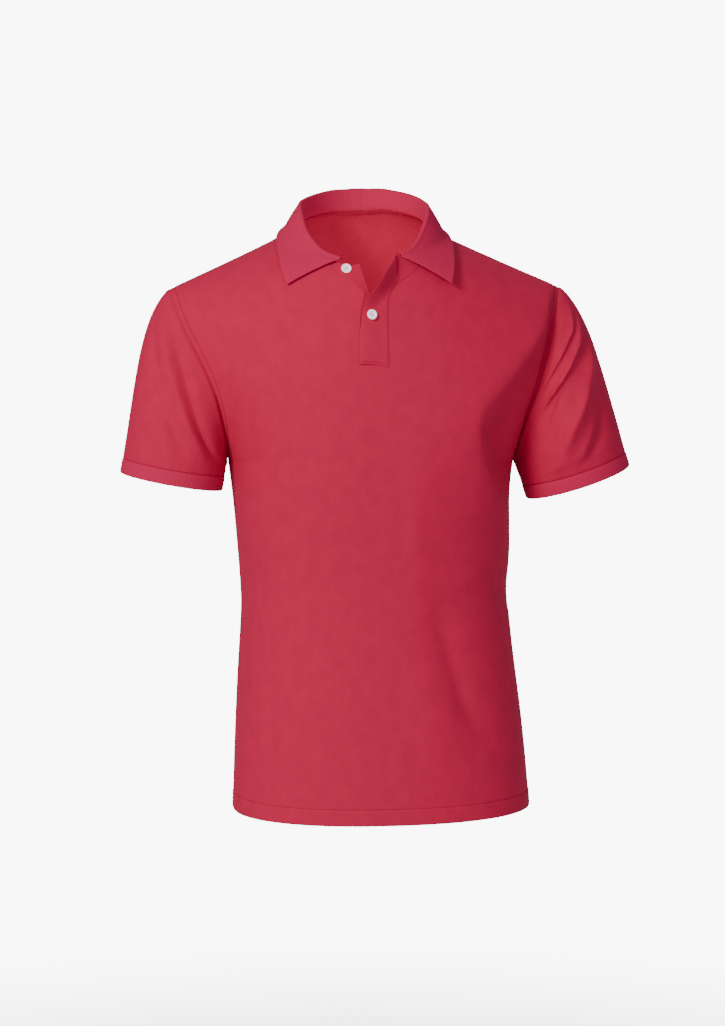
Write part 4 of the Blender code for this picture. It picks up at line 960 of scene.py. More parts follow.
def shade(colour, factor):
    """A lighter or darker colour with an alpha of one."""
    return (*(min(1.0, c * factor) for c in colour), 1.0)


def cloth_places(tree, u_scale, v_scale):
    """The cloth's own places, in pattern repeats across and along."""
    places = add_node(tree, "UVMap", uv_map="cloth")
    return add_node(tree, "VectorMath", {0: places.outputs["UV"], 1: (u_scale, v_scale, 1.0)},
                    operation="MULTIPLY").outputs["Vector"]


def wave_product(tree, places):
    """Raised cells in a lattice of diamonds, from 0 in the pits to 1 on the crowns."""
    parts = add_node(tree, "SeparateXYZ", {"Vector": places})
    across = add_node(tree, "Math", {0: parts.outputs["X"]}, operation="SINE").outputs["Value"]
    along = add_node(tree, "Math", {0: parts.outputs["Y"]}, operation="SINE").outputs["Value"]
    product = add_node(tree, "Math", {0: across, 1: along}, operation="MULTIPLY").outputs["Value"]
    return add_node(tree, "Math", {0: product, 1: 0.5, 2: 0.5}, operation="MULTIPLY_ADD").outputs["Value"]


def pique_cotton():
    """Cotton piqué, knitted in raised cells and coloured with dye: matt, with a soft bloom where the cloth
    turns away.
    Its colour is darker in the cells' pits, which is painted shade. The real cells are about 1 mm wide; they
    are drawn a little coarser so that they show."""
    material, shader = new_material("pique_cotton", 0.82, Sheen_Weight=0.18, Sheen_Roughness=0.45,
                                    Specular_IOR_Level=0.25)
    shader.inputs["Sheen Tint"].default_value = shade(colours().knit, 1.6)
    tree = material.node_tree
    cell = sizes().cell
    cells = wave_product(tree, cloth_places(tree, math.pi / cell, math.pi / (1.15 * cell)))
    flecks = cloth_places(tree, 1 / YARN_FLECK[0], 1 / YARN_FLECK[1])
    yarn = add_node(tree, "TexNoise", {"Vector": flecks, "Scale": 1.0, "Detail": 2.0,
                                       "Roughness": 0.6}).outputs["Fac"]
    clouds = cloth_places(tree, 1 / DYE_CLOUD[0], 1 / DYE_CLOUD[1])
    cloud = add_node(tree, "TexNoise", {"Vector": clouds, "Scale": 1.0, "Detail": 3.0,
                                        "Roughness": 0.55}).outputs["Fac"]
    relief = add_node(tree, "Math", {0: yarn, 1: 0.55, 2: cells}, operation="MULTIPLY_ADD").outputs["Value"]
    # Painted shade: the colour is darker in the cells' pits and lighter on their crowns, with the yarn's
    # random flecks mixed in.
    painted_hollow_shade = add_node(tree, "MapRange", {"Value": relief, "From Min": 0.1, "From Max": 1.3, "To Min": 0.0,
                                       "To Max": 1.0}).outputs["Result"]
    tone = add_node(tree, "Mix", {"Factor": painted_hollow_shade, "A": shade(colours().knit, 0.88),
                                  "B": shade(colours().knit, 1.08)}, data_type="RGBA").outputs["Result"]
    faded = add_node(tree, "MapRange", {"Value": cloud, "From Min": 0.3, "From Max": 0.7, "To Min": 0.94,
                                        "To Max": 1.05}).outputs["Result"]
    # The dye's random clouds scale a colour that already holds the painted shade of the cells.
    dyed_and_shaded = add_node(tree, "VectorMath", {0: tone, "Scale": faded}, operation="SCALE")
    tree.links.new(dyed_and_shaded.outputs["Vector"], shader.inputs["Base Color"])
    bump = add_node(tree, "Bump", {"Strength": 0.35, "Distance": 0.0003, "Height": relief})
    tree.links.new(bump.outputs["Normal"], shader.inputs["Normal"])
    return material


def ribbed_cotton():
    """Flat-knit cotton rib for collar and cuffs: fine ribs across the strip, with a mixed, lighter yarn.
    Its colour is darker in the hollows between the ribs, which is painted shade. The ribs are drawn a little
    coarser than the real ones so that they show."""
    material, shader = new_material("ribbed_cotton", 0.86, Sheen_Weight=0.22, Sheen_Roughness=0.45,
                                    Specular_IOR_Level=0.22)
    shader.inputs["Sheen Tint"].default_value = shade(colours().rib, 1.6)
    tree = material.node_tree
    pitch = sizes().rib_pitch
    parts = add_node(tree, "SeparateXYZ", {"Vector": cloth_places(tree, 2 * math.pi / pitch, 1.0)})
    wave = add_node(tree, "Math", {0: parts.outputs["X"]}, operation="SINE").outputs["Value"]
    ribs = add_node(tree, "Math", {0: wave, 1: 0.5, 2: 0.5}, operation="MULTIPLY_ADD").outputs["Value"]
    loops = wave_product(tree, cloth_places(tree, math.pi / (pitch / 2), math.pi / RIB_LOOP))
    flecks = cloth_places(tree, 1 / RIB_FLECK[0], 1 / RIB_FLECK[1])
    yarn = add_node(tree, "TexNoise", {"Vector": flecks, "Scale": 1.0, "Detail": 2.0,
                                       "Roughness": 0.7}).outputs["Fac"]
    relief = add_node(tree, "Math", {0: loops, 1: 0.30, 2: ribs}, operation="MULTIPLY_ADD").outputs["Value"]
    mixed = add_node(tree, "MapRange", {"Value": yarn, "From Min": 0.35, "From Max": 0.68, "To Min": 0.0,
                                        "To Max": 1.0}).outputs["Result"]
    tone = add_node(tree, "Mix", {"Factor": mixed, "A": shade(colours().rib, 0.93),
                                  "B": shade(colours().rib, 1.12)}, data_type="RGBA").outputs["Result"]
    # Painted shade: the colour is darker in the hollows between the ribs and loops than on their crests.
    painted_hollow_shade = add_node(tree, "MapRange", {"Value": relief, "From Min": 0.0, "From Max": 1.0, "To Min": 0.86,
                                       "To Max": 1.05}).outputs["Result"]
    # The mixed yarn's random tone, times the painted shade of the hollows.
    dyed_and_shaded = add_node(tree, "VectorMath", {0: tone, "Scale": painted_hollow_shade}, operation="SCALE")
    tree.links.new(dyed_and_shaded.outputs["Vector"], shader.inputs["Base Color"])
    bump = add_node(tree, "Bump", {"Strength": 0.28, "Distance": 0.0004, "Height": relief})
    tree.links.new(bump.outputs["Normal"], shader.inputs["Normal"])
    return material


def sewing_thread():
    """Cotton-wrapped polyester thread: twisted and matt."""
    material, shader = new_material("sewing_thread", 0.8, Specular_IOR_Level=0.12)
    tree = material.node_tree
    place = add_node(tree, "TexCoord").outputs["Object"]
    twist = add_node(tree, "TexNoise", {"Vector": place, "Scale": 1 / THREAD_TWIST,
                                        "Detail": 1.0}).outputs["Fac"]
    tone = add_node(tree, "Mix", {"Factor": twist, "A": shade(colours().thread, 0.8),
                                  "B": shade(colours().thread, 1.25)}, data_type="RGBA").outputs["Result"]
    tree.links.new(tone, shader.inputs["Base Color"])
    return material


def white_thread():
    """The white cotton thread that the buttons are sewn on with: fine and matt."""
    material, shader = new_material("white_thread", 0.7, Sheen_Weight=0.10)
    shader.inputs["Base Color"].default_value = shade(colours().button, 0.88)
    return material


def pearly_resin():
    """Cast polyester resin with a mother-of-pearl swirl, turned and polished: glossy, and made brighter than
    a matt white by a painted glow, as if it gave off light of its own."""
    # The emission is a painted glow: it makes the buttons give off light, though they are no lamp.
    material, shader = new_material("pearly_resin", 0.22, Coat_Weight=0.35, Coat_Roughness=0.12,
                                    Emission_Color=(1.0, 0.86, 0.88, 1.0), Emission_Strength=0.40)
    tree = material.node_tree
    place = add_node(tree, "TexCoord").outputs["Object"]
    swirl = add_node(tree, "TexNoise", {"Vector": place, "Scale": 1 / PEARL_SWIRL, "Detail": 3.0,
                                        "Distortion": 2.5}).outputs["Fac"]
    tone = add_node(tree, "Mix", {"Factor": swirl, "A": shade(colours().button, 0.92),
                                  "B": shade(colours().button, 1.05)}, data_type="RGBA").outputs["Result"]
    tree.links.new(tone, shader.inputs["Base Color"])
    return material


def material(maker):
    """A finish, made once."""
    name = maker.__name__
    return bpy.data.materials.get(name) or maker()


def side_parts():
    """Shares of the way from the middle to the side, closest beside the seam."""
    near = np.array([0.0125, 0.0085, 0.0055, 0.0033, 0.0016, 0.0])
    return np.concatenate([np.linspace(0, 1 - near[0], steps().across)[:-1], 1 - near])


def half_panel(rows, side, start, armhole_from, armhole_directions):
    """One half of a panel: each row from its start to the side seam or the armhole."""
    part = side_parts()[None, :]
    points, normals = body_points(rows[:, None], side, start[:, None] + (1 - start[:, None]) * part)
    normals[armhole_from:, -1] = armhole_directions
    return points, normals


def lapped(points, inner_points):
    """An edge moved out from its neighbours by the lap of two sewn pieces."""
    return points + unit(points - inner_points) * sizes().lap


def panel_relief(outer):
    """What the sewing does to a panel: a raised turned hem, and grooves at the stitches and seams."""
    up = lengths(outer, 0)
    left = lengths(outer, 1)
    right = left[:, -1:] - left
    top = up[-1:] - up
    hem = sizes().hem
    turned = HEM_RAISED * below(up, hem, 0.0006)
    waves = wobble(left / PUCKER_SIZE[0] + up / PUCKER_SIZE[1], 0.4)
    pucker = PUCKER * waves * bell(up - hem * 0.8, 0.012)
    fold = dip(up, "hem_fold")
    sewn = dip(up - hem, "hem_stitches")
    seams = dip(left, "side_seam") + dip(right, "side_seam") + dip(top, "top_seam")
    armhole = (dip(left - ARMHOLE_INSET, "armhole_stitches")
               + dip(right - ARMHOLE_INSET, "armhole_stitches"))
    return turned + pucker + fold + sewn + seams + armhole * ramp(outer[..., 2], *ARMHOLE_STITCHES_FROM)


def joined(left, *others):
    """The points and directions of a panel's parts, side by side; the left part runs the other way."""
    left = [part[:, ::-1] for part in left]
    return [np.concatenate(parts, axis=1) for parts in zip(left, *others)]


def panel_wall(name, outer, normals, keep):
    """A panel from its grid: lapped at its seams, and thicker at its turned hem."""
    outer[:, 0] = lapped(outer[:, 0], outer[:, 1])
    outer[:, -1] = lapped(outer[:, -1], outer[:, -2])
    outer[-1] = lapped(outer[-1], outer[-2])
    up = lengths(outer, 0)
    across = lengths(outer, 1)
    wall = sizes().cloth + HEM_DOUBLED * below(up, sizes().hem, 0.0005)
    places = np.stack([across - across[:, across.shape[1] // 2][:, None], up], axis=-1)
    outer = outer + normals * panel_relief(outer)[..., None]
    return make_wall(name, outer, outer - normals * wall[..., None], places, keep)


def front_panel():
    """The front: its left part, the strip below the slit and its right part."""
    low = low_rows(0, FRONT_UNDERARM)
    armhole = front_armhole_rows()
    rows = np.concatenate([low, armhole])
    halves = {}
    for side, seam in ((-1, "under_seam"), (1, "over_seam")):
        start = np.maximum(across_at(rows, side, placket_value(seam, rows)), neck_across(rows, side))
        directions, _ = seam_directions(side)
        halves[side] = half_panel(rows, side, start, len(low), directions[:len(armhole)])
    share = np.linspace(0, 1, 13)[1:-1]
    left_x = placket_value("under_seam", rows)[:, None]
    right_x = placket_value("over_seam", rows)[:, None]
    middle = front_at(rows[:, None], left_x * (1 - share) + right_x * share)
    outer, normals = joined(halves[-1], middle, halves[1])
    keep = np.ones((len(rows) - 1, outer.shape[1] - 1), dtype=bool)
    foot = float(row_at_height(np.array(WINDOW_FOOT)))
    first = halves[-1][0].shape[1] - 1
    keep[int(np.argmin(np.abs(rows - foot))):, first:first + len(share) + 1] = False
    return panel_wall("cloth_front", outer, normals, keep)


def back_panel():
    """The back, whose two halves meet below the neckline."""
    low = low_rows(BACK_HEM, BACK_UNDERARM)
    armhole = back_armhole_rows()
    rows = np.concatenate([low, armhole])
    halves = {}
    for side in (-1, 1):
        directions, _ = seam_directions(side)
        start = neck_across(rows, side)
        start[:-neck_steps()] = 0
        halves[side] = half_panel(rows, side, start, len(low), directions[::-1][:len(armhole)])
    outer, normals = joined(halves[-1], halves[1])
    keep = np.ones((len(rows) - 1, outer.shape[1] - 1), dtype=bool)
    keep[-neck_steps():, halves[-1][0].shape[1] - 1] = False
    return panel_wall("cloth_back", outer, normals, keep)


def sleeve(side):
    """A sleeve's cloth, from the armhole seam to the cuff seam."""
    along = np.concatenate([[0, 0.004, 0.010, 0.018], np.linspace(0.03, 0.97, steps().sleeve),
                            [0.982, 0.990, 0.996, 1.0]])
    outer, normals = sleeve_points(side, along)
    _, edge = seam_directions(side)
    normals[0] = edge
    outer[0] = lapped(outer[0], outer[1])
    down = lengths(outer, 0)
    up = down[-1:] - down
    height, place, width = SLEEVE_RIDGE
    relief = dip(down, "sleeve_seam") + height * bell(down - place, width) + dip(up, "cuff_seam")
    outer = outer + normals * relief[..., None]
    girth = lengths(outer, 1)
    places = np.stack([girth, -down], axis=-1)
    name = "cloth_sleeve_left" if side < 0 else "cloth_sleeve_right"
    return make_wall(name, outer, outer - normals * sizes().cloth, places)


def cuff(side):
    """A cuff's flat-knit rib, with a rounded lower edge."""
    share = round_share(sleeve_ring(side)[0])
    share = np.interp(np.linspace(0, 1, 4 * len(share) // 2), np.linspace(0, 1, len(share)), share)
    width = sizes().cuff
    # Ring by ring from the seam down: its height above the lower end, how deep it lies and how round it is
    raised = np.array([width + 0.0035, width + 0.0006, width - 0.0006, width - 0.002, 0.7 * width,
                       0.45 * width, 0.2 * width, 0.0015, 0.0007, 0.0002, 0])
    outer = np.stack([cuff_ring(side, share, height) for height in raised])
    normals = grid_normals(outer, True) * -side
    sunk = np.array([0.0018, 0.0014, 0.0004, 0, 0, 0, 0, 0, 0, 0, 0])[:, None, None]
    rounding = np.array([0.0002, 0, 0, 0, 0, 0, 0, 0, 0.0002, 0.0005, 0.0008])
    outer = outer + normals * ((sizes().rib - sizes().cloth - rounding)[:, None, None] - sunk)
    thickness = np.maximum(sizes().rib - 2 * rounding, 0.0004)
    girth = lengths(outer, 1)
    places = np.stack([girth, np.broadcast_to(raised[:, None], girth.shape)], axis=-1)
    name = "rib_cuff_left" if side < 0 else "rib_cuff_right"
    return make_wall(name, outer, outer - normals * thickness[:, None, None], places)


def strip_inside(over, rows, share):
    """Points of a strip's inside at shares of its width, and the front's outward directions there."""
    columns = ("over_edge", "over_seam") if over else ("under_seam", "under_edge")
    laps = (0, PLACKET_LAP) if over else (-PLACKET_LAP, 0)
    left, right = (placket_value(name, rows) + lap for name, lap in zip(columns, laps))
    points, normals = front_at(rows, left * (1 - share) + right * share)
    under_at = -sizes().cloth - PLACKET_LIFT - sizes().placket
    start, stop = (PLACKET_LIFT, OVER_SEAM_AT) if over else (UNDER_SEAM_AT, under_at)
    level = start + (stop - start) * ramp(share, 0.1, 0.9)
    if over:
        sink = OVER_SEAM_SINK - OVER_SEAM_LEVEL * ramp(body_value("mid_z", rows), *OPEN_FROM)
        level = level + over_lift(rows, share) - sink * ramp(share, 0.92, 1)
    else:
        level = level + under_lift(rows, share)
    return points + normals * level[..., None], normals


def strip_rows(over, share):
    """The rows where a strip begins and ends."""
    foot = row_at_height(PLACKET_FOOT - PLACKET_SLANT * (share - 0.5))
    top = bisect(lambda rows: -neck_distance(strip_inside(over, rows, share)[0]),
                 foot, np.full_like(share, float(SHOULDER)))
    open_at, corner = (0, OVER_CORNER) if over else (1, UNDER_CORNER)
    return foot, top + corner[0] * (1 - ramp(np.abs(share - open_at), 0, corner[1]))


def placket_strip(name, over):
    """A strip from the foot of the placket to the neckline, doubled at its free edge."""
    share = np.array([0, 0.008, 0.022, 0.045, 0.07, 0.10, 0.15, 0.22, 0.3, 0.4, 0.5, 0.6, 0.7, 0.78, 0.85,
                      0.90, 0.93, 0.955, 0.978, 0.992, 1.0])
    foot, top = strip_rows(over, share)
    part = np.concatenate([[0, 0.003, 0.008, 0.016], np.linspace(0.03, 1, 90)])[:, None]
    inner, normals = strip_inside(over, foot + (top - foot) * part, share[None, :])
    across = lengths(inner, 1)
    up = lengths(inner, 0)
    edge = across if over else across[:, -1:] - across
    width, lost = STRIP_ROUND
    rounding = bell(edge, width) * lost * sizes().placket + bell(up, width) * lost * sizes().placket
    relief = dip(edge - STRIP_EDGE_INSET, "strip_edge") + dip(up - STITCH_INSET, "strip_foot")
    outer = inner + normals * (sizes().placket - rounding + relief)[..., None]
    places = np.stack([across, up], axis=-1)
    return make_wall(name, outer, inner, places)


def threads(name, centre, up, thick):
    """Threads, each a tube: centre and up are threads by points, and thick is the radius at each point."""
    count, parts = centre.shape[:2]
    sides = 6
    forward = unit(np.gradient(centre, axis=1))
    across = unit(np.cross(up, forward))
    up = np.cross(forward, across)
    turn = np.linspace(0, 2 * math.pi, sides, endpoint=False)
    ring = np.cos(turn)[:, None] * across[:, :, None] + np.sin(turn)[:, None] * up[:, :, None]
    points = centre[:, :, None] + np.asarray(thick)[:, None, None] * ring
    index = np.arange(count * parts * sides).reshape(count, parts, sides)
    ahead = np.roll(index, -1, axis=2)
    tube = np.stack([index[:, :-1], ahead[:, :-1], ahead[:, 1:], index[:, 1:]], axis=-1).reshape(-1, 4)
    ends = np.concatenate([index[:, 0, ::-1], index[:, -1]])
    mesh = bmesh.new()
    vertices = [mesh.verts.new(p) for p in points.reshape(-1, 3)]
    for corners in (*tube, *ends):
        mesh.faces.new([vertices[k] for k in corners]).smooth = True
    return finish_mesh(name, mesh, 180)


def bars(name, start, stop, up, radius):
    """Threads side by side, each from a start to a stop, bowed up off the cloth and sunk at its ends."""
    part = np.array([0, 0.10, 0.3, 0.5, 0.7, 0.90, 1.0])
    bow = np.sin(math.pi * part) ** 0.6
    centre = start[:, None] * (1 - part[:, None]) + stop[:, None] * part[:, None]
    up = np.broadcast_to(unit(up)[:, None], centre.shape)
    lift = radius * (2.1 * bow - 1.1)
    return threads(name, centre + up * lift[:, None], up, radius * (0.65 + 0.35 * bow))


def points_at(at, way, line):
    """A line's points at these places on the way along it."""
    return np.stack([np.interp(at, way, line[:, k]) for k in range(3)], axis=1)


def stitches(name, line, up):
    """A row of stitches along a line on the cloth."""
    way = np.concatenate([[0], np.cumsum(np.linalg.norm(np.diff(line, axis=0), axis=1))])
    count = max(1, round(way[-1] / sizes().stitch))
    start, middle, stop = ((np.arange(count) + share) * way[-1] / count for share in STITCH_ENDS)
    return bars(name, points_at(start, way, line), points_at(stop, way, line), points_at(middle, way, up),
                sizes().thread / 2)


def hem_line(hem_row):
    """The row of stitches that holds the front's or the back's turned hem."""
    row = np.abs(hem_row - row_at_height(np.array([HEM_Z + sizes().hem])))
    across = np.linspace(0.004, 0.996, 160)
    left = body_points(np.full_like(across, row[0]), -1, across[::-1])
    right = body_points(np.full_like(across, row[0]), 1, across)
    points, normals = (np.concatenate([left[k], right[k]]) for k in (0, 1))
    return points - normals * STITCHES_SUNK, normals


def armhole_line(side, rows):
    """The row of stitches on the body beside an armhole."""
    edge, _ = body_points(rows, side, np.ones_like(rows))
    step = 0.1
    inside, _ = body_points(rows, side, np.full_like(rows, 1 - step))
    across = 1 - step * ARMHOLE_INSET / np.linalg.norm(edge - inside, axis=1)
    points, normals = body_points(rows, side, across)
    return points - normals * ARMHOLE_STITCHES_SUNK, normals


def cuff_line(side):
    """The row of stitches on the sleeve above its cuff."""
    points, normals = sleeve_points(side, np.array([0.94, 0.97, 1.0]))
    up = lengths(points, 0)
    share = np.clip(1 - CUFF_INSET / (up[-1] - up[1]), 0, 1)[:, None]
    return points[1] + (points[2] - points[1]) * share, normals[1]


def placket_sewing():
    """The rows of stitches at the placket's foot and along its sewn side."""
    share = np.linspace(*FOOT_STITCHES, 40)
    foot, top = strip_rows(True, share)
    points, normals = strip_inside(True, foot + (top - foot) * (STITCH_INSET / STRIP_LENGTH), share)
    height = sizes().placket
    made = [stitches("sewing_placket_foot", points + normals * height, normals)]
    part = np.linspace(*SIDE_STITCHES, 60)
    share = np.full_like(part, SIDE_STITCHES_AT)
    foot, top = strip_rows(True, share)
    points, normals = strip_inside(True, foot + (top - foot) * part, share)
    made.append(stitches("sewing_placket_side", points + normals * height, normals))
    return made


def buttonhole():
    """A slit's two rims and end bars, worked in close stitches, on the over strip."""
    height, x = BUTTONHOLE
    middle = float(row_at_height(np.array([height]))[0])
    rows = middle + np.linspace(-BUTTONHOLE_HALF, BUTTONHOLE_HALF, BUTTONHOLE_THREADS)[:, None]
    left = placket_value("over_edge", rows)
    width = placket_value("over_seam", rows) + PLACKET_LAP - left
    share = (x - left + np.array(BUTTONHOLE_RIMS)) / width
    inside, normals = strip_inside(True, rows, share)
    surface = inside + normals * sizes().placket
    up = grid_normals(surface, False)
    up = up * np.sign(np.sum(up * normals, axis=-1, keepdims=True))
    start = np.concatenate([surface[:, 0], surface[:, 2], surface[[0, -1], 0]])
    stop = np.concatenate([surface[:, 1], surface[:, 3], surface[[0, -1], 3]])
    lift = np.concatenate([up[:, 0], up[:, 2], up[[0, -1], 1]])
    return bars("sewing_buttonhole", start, stop, lift, BUTTONHOLE_THREAD)


def neck_seam():
    """The collar seam's turned-down allowance inside the neck, bound with close slanting threads."""
    angles = np.linspace(-NECK_SEAM_ANGLE, NECK_SEAM_ANGLE, 151)
    base, normals, inward = neck_line(angles)
    down = np.array([0.0, 0.0008, 0.0020, 0.0035, NECK_SEAM_WIDTH - 0.0006, NECK_SEAM_WIDTH])
    depth = sizes().cloth + np.array([0.0007, 0.0010, 0.0010, 0.0009, 0.0007, 0.0004])
    hanging = base[:, None] - inward[:, None] * down[:, None]
    inner = hanging - normals[:, None] * depth[:, None]
    outer = hanging - normals[:, None] * (sizes().cloth - 0.0002)
    places = np.stack([lengths(outer, 0), lengths(outer, 1)], axis=-1)
    band = make_wall("seam_neck", outer, inner, places)
    fine = np.linspace(-NECK_SEAM_ANGLE + 1, NECK_SEAM_ANGLE - 1, 96)
    start = points_at(fine, angles, inner[:, 1])
    stop = points_at(fine + BINDING_SLANT, angles, inner[:, -1])
    up = -points_at(fine, angles, normals)
    binding = bars("sewing_neck", start, stop, up, BINDING_THREAD)
    line = inner[None, :, 0] + inward[None] * 0.0002
    row = threads("sewing_neck_line", line, -normals[None], np.full(len(angles), NECK_THREAD))
    return band, binding, row


def button_thread(name, button):
    """Two crossed threads that hold a button, in its dish."""
    floor = DISH_HEIGHT * sizes().button_height
    turn = np.radians([45, 135])
    start = np.stack([THREAD_REACH * np.cos(turn), THREAD_REACH * np.sin(turn), np.full(2, floor)], axis=1)
    stop = start * np.array([-1, -1, 1])
    cross = bars(name, start, stop, np.array([[0, 0, 1.0], [0, 0, 1.0]]), BUTTON_THREAD)
    cross.location = button.location
    cross.rotation_euler = button.rotation_euler
    return cross


def neck_line(angles):
    """Points of the neckline at these angles, the body's outward directions and the ways into the neck."""
    found = []
    for side in (-1, 1):
        rows = np.linspace(neck_row(FRONT_UNDERARM), neck_row(BACK_UNDERARM), 400)[1:-1]
        across = neck_across(rows, side)
        points = body_form(rows, side, across)
        turned = np.degrees(np.arctan2(points[:, 0] / NECK_HALF_WIDTH,
                                       (points[:, 1] - NECK_MIDDLE_Y) / NECK_HALF_DEPTH))
        order = slice(None) if side < 0 else slice(None, None, -1)
        found.append((turned[order], points[order], body_normal(rows, side, across)[order]))
    turned, points, normals = (np.concatenate([left, right]) for left, right in zip(*found))
    points = points_at(angles, turned, points)
    normals = unit(points_at(angles, turned, normals))
    inward = unit(np.cross(normals, np.gradient(points, axis=0)))
    middle = np.array([0, NECK_MIDDLE_Y, 0]) - points
    inward *= np.sign(np.sum(inward[:, :2] * middle[:, :2], axis=1, keepdims=True))
    return points, normals, inward


@functools.lru_cache(maxsize=None)
def body_tree():
    """The body's outside as a search tree, for what lies on it."""
    points = []
    faces = []
    rows = np.linspace(FRONT_UNDERARM, BACK_UNDERARM, 99)
    columns = 30
    for side in (-1, 1):
        start = neck_across(rows, side)[:, None]
        grid, _ = body_points(rows[:, None], side, start + (1 - start) * np.linspace(0, 1, columns)[None, :])
        first = len(points)
        points += [Vector(p) for p in grid.reshape(-1, 3)]
        for i in range(len(rows) - 1):
            for j in range(columns - 1):
                a = first + i * columns + j
                face = (a, a + 1, a + columns + 1, a + columns)
                faces.append(face if side > 0 else face[::-1])
    return BVHTree.FromPolygons(points, faces)


def collar_lines(angles):
    """The collar's main lines from the neckline over the fold to the free edge, for each station."""
    base, normals, inward = neck_line(angles)
    turned = column(COLLAR_ROWS, COLLAR_NAMES, "angle")
    stand, edge_x, edge_y, edge_z = (smooth(turned, column(COLLAR_ROWS, COLLAR_NAMES, name), angles)
                                     for name in COLLAR_NAMES[1:])
    edge = np.stack([edge_x, edge_y, edge_z], axis=1)
    outward = unit(np.stack([base[:, 0] / NECK_HALF_WIDTH ** 2,
                             (base[:, 1] - NECK_MIDDLE_Y) / NECK_HALF_DEPTH ** 2, 0 * stand], axis=1))
    up = np.array([0.0, 0.0, 1.0])
    foot = base - normals * sizes().rib / 2 + inward * 0.0002
    lean = np.minimum(STAND_LEAN, 0.3 * stand)[:, None]
    rise = (stand - FOLD_RADIUS)[:, None]
    lines = [foot, foot + inward * lean * 0.7, foot + inward * lean + up * rise * 0.5,
             foot + inward * lean + up * rise]
    centre = lines[-1] + outward * FOLD_RADIUS
    for degrees in (45, 90, 135, 180):
        turn = math.radians(degrees)
        lines.append(centre + FOLD_RADIUS * (up * math.sin(turn) - outward * math.cos(turn)))
    exit_line = lines[-1]
    bend = (exit_line + edge) / 2 + (outward * 0.4 + up) * LEAF_BULGE
    leaf = 7
    for k in range(1, leaf + 1):
        w = k / leaf
        lines.append((1 - w) ** 2 * exit_line + 2 * w * (1 - w) * bend + w ** 2 * edge)
    middle = np.stack(lines, axis=1)
    rest_on_body(middle, angles, leaf)
    return middle, normals


def rest_on_body(middle, angles, leaf):
    """Moves the leaf's points out until they clear the body; the right leaf's front end stands off it."""
    tree = body_tree()
    moves = np.zeros_like(middle)
    for i, angle in enumerate(angles):
        lift = RIGHT_LIFT * np.clip((angle - LIFT_FROM) / (COLLAR_END - LIFT_FROM), 0, 1) ** 2
        for k in range(1, leaf + 1):
            j = middle.shape[1] - 1 - leaf + k
            place, direction, _, _ = tree.find_nearest(Vector(middle[i, j]))
            clear = LEAF_CLEAR + lift * k / leaf
            height = (Vector(middle[i, j]) - place).dot(direction)
            if height < clear or k == leaf:
                moves[i, j] = np.array(direction) * (clear - height)
    window = np.hanning(15)[1:-1]
    window = window / window.sum()
    half = len(window) // 2
    for j in range(middle.shape[1]):
        for k in range(3):
            padded = np.pad(moves[:, j, k], half, mode="edge")
            middle[:, j, k] += np.convolve(padded, window, mode="valid")


def collar():
    """One ribbed piece: up from the neckline, over the fold and down to the leaf's free edge."""
    angles = np.linspace(-COLLAR_END, COLLAR_END, 2 * steps().collar + 1)
    lines, base_normals = collar_lines(angles)
    count = lines.shape[1]
    by_edge = np.array([0.2, 0.1, 0.04, 0.015, 0])
    at = np.concatenate([np.linspace(0, count - 1.3, 52), count - 1 - by_edge])
    knots = range(count)
    middle = np.empty((len(angles), len(at), 3))
    for i in range(len(angles)):
        for k in range(3):
            middle[i, :, k] = smooth(knots, lines[i, :, k], at)
    directions = grid_normals(middle, False)
    sign = np.sign(np.sum(directions[:, 0] * base_normals, axis=1).mean())
    directions[:, 0] = base_normals * sign
    down = lengths(middle, 1)
    around = lengths(middle, 0)
    edge = down[:, -1:] - down
    end = np.minimum(around, around[-1:] - around)
    width, at_edge, at_end = COLLAR_ROUND
    half = sizes().rib / 2 * (1 - at_edge * bell(edge, width)) * (1 - at_end * bell(end, width))
    height, place, width = COLLAR_RIM
    half = half + height * bell(edge - place, width)
    places = np.stack([around - around[len(angles) // 2][None, :], down], axis=-1)
    outer = middle + directions * half[..., None]
    inner = middle - directions * half[..., None]
    return make_wall("rib_collar", outer, inner, places)


def turned_button(name):
    """A button turned from resin: a rounded rim round a shallow dish with four holes."""
    radius = sizes().button / 2
    top = sizes().button_height
    count = 64
    turns = np.linspace(0, 2 * math.pi, count, endpoint=False)
    mesh = bmesh.new()
    rings = []
    for share, height in BUTTON_PROFILE:
        reach = share * radius
        ring_turns = turns if reach else turns[:1]
        rings.append([mesh.verts.new((reach * math.cos(turn), reach * math.sin(turn), height * top))
                      for turn in ring_turns])
    for low, high in zip(rings[:-1], rings[1:]):
        for k in range(count):
            n = (k + 1) % count
            ring = [low[k % len(low)], high[k % len(high)], high[n % len(high)], low[n % len(low)]]
            mesh.faces.new(list(dict.fromkeys(ring)))
    button = finish_mesh(name, mesh, 40)
    cutter_mesh = bmesh.new()
    for quarter in range(4):
        angle = math.radians(45 + 90 * quarter)
        pin = bmesh.ops.create_cone(cutter_mesh, cap_ends=True, segments=20, radius1=HOLE_RADIUS,
                                    radius2=HOLE_RADIUS, depth=4 * top)
        place = (HOLE_REACH * math.cos(angle), HOLE_REACH * math.sin(angle), 0)
        bmesh.ops.translate(cutter_mesh, verts=pin["verts"], vec=place)
    cutter = finish_mesh(name + "_pins", cutter_mesh)
    cut = button.modifiers.new("holes", "BOOLEAN")
    cut.operation = "DIFFERENCE"
    cut.object = cutter
    bpy.context.view_layer.update()
    shape = bpy.data.meshes.new_from_object(button.evaluated_get(bpy.context.evaluated_depsgraph_get()))
    button.modifiers.clear()
    button.data = shape
    bpy.data.objects.remove(cutter)
    return button


def place_on_front(thing, x, height, out, right, up, turn):
    """Sets a thing on the front, leaning to the right and up, and turned on itself."""
    points, normals = front_at(row_at_height(np.array([height])), np.array([x]))
    thing.location = Vector(points[0] + normals[0] * out)
    thing.rotation_euler = Vector(normals[0] + np.array([right, 0, up])).to_track_quat("Z", "Y").to_euler()
    thing.rotation_euler.rotate_axis("Z", math.radians(turn))


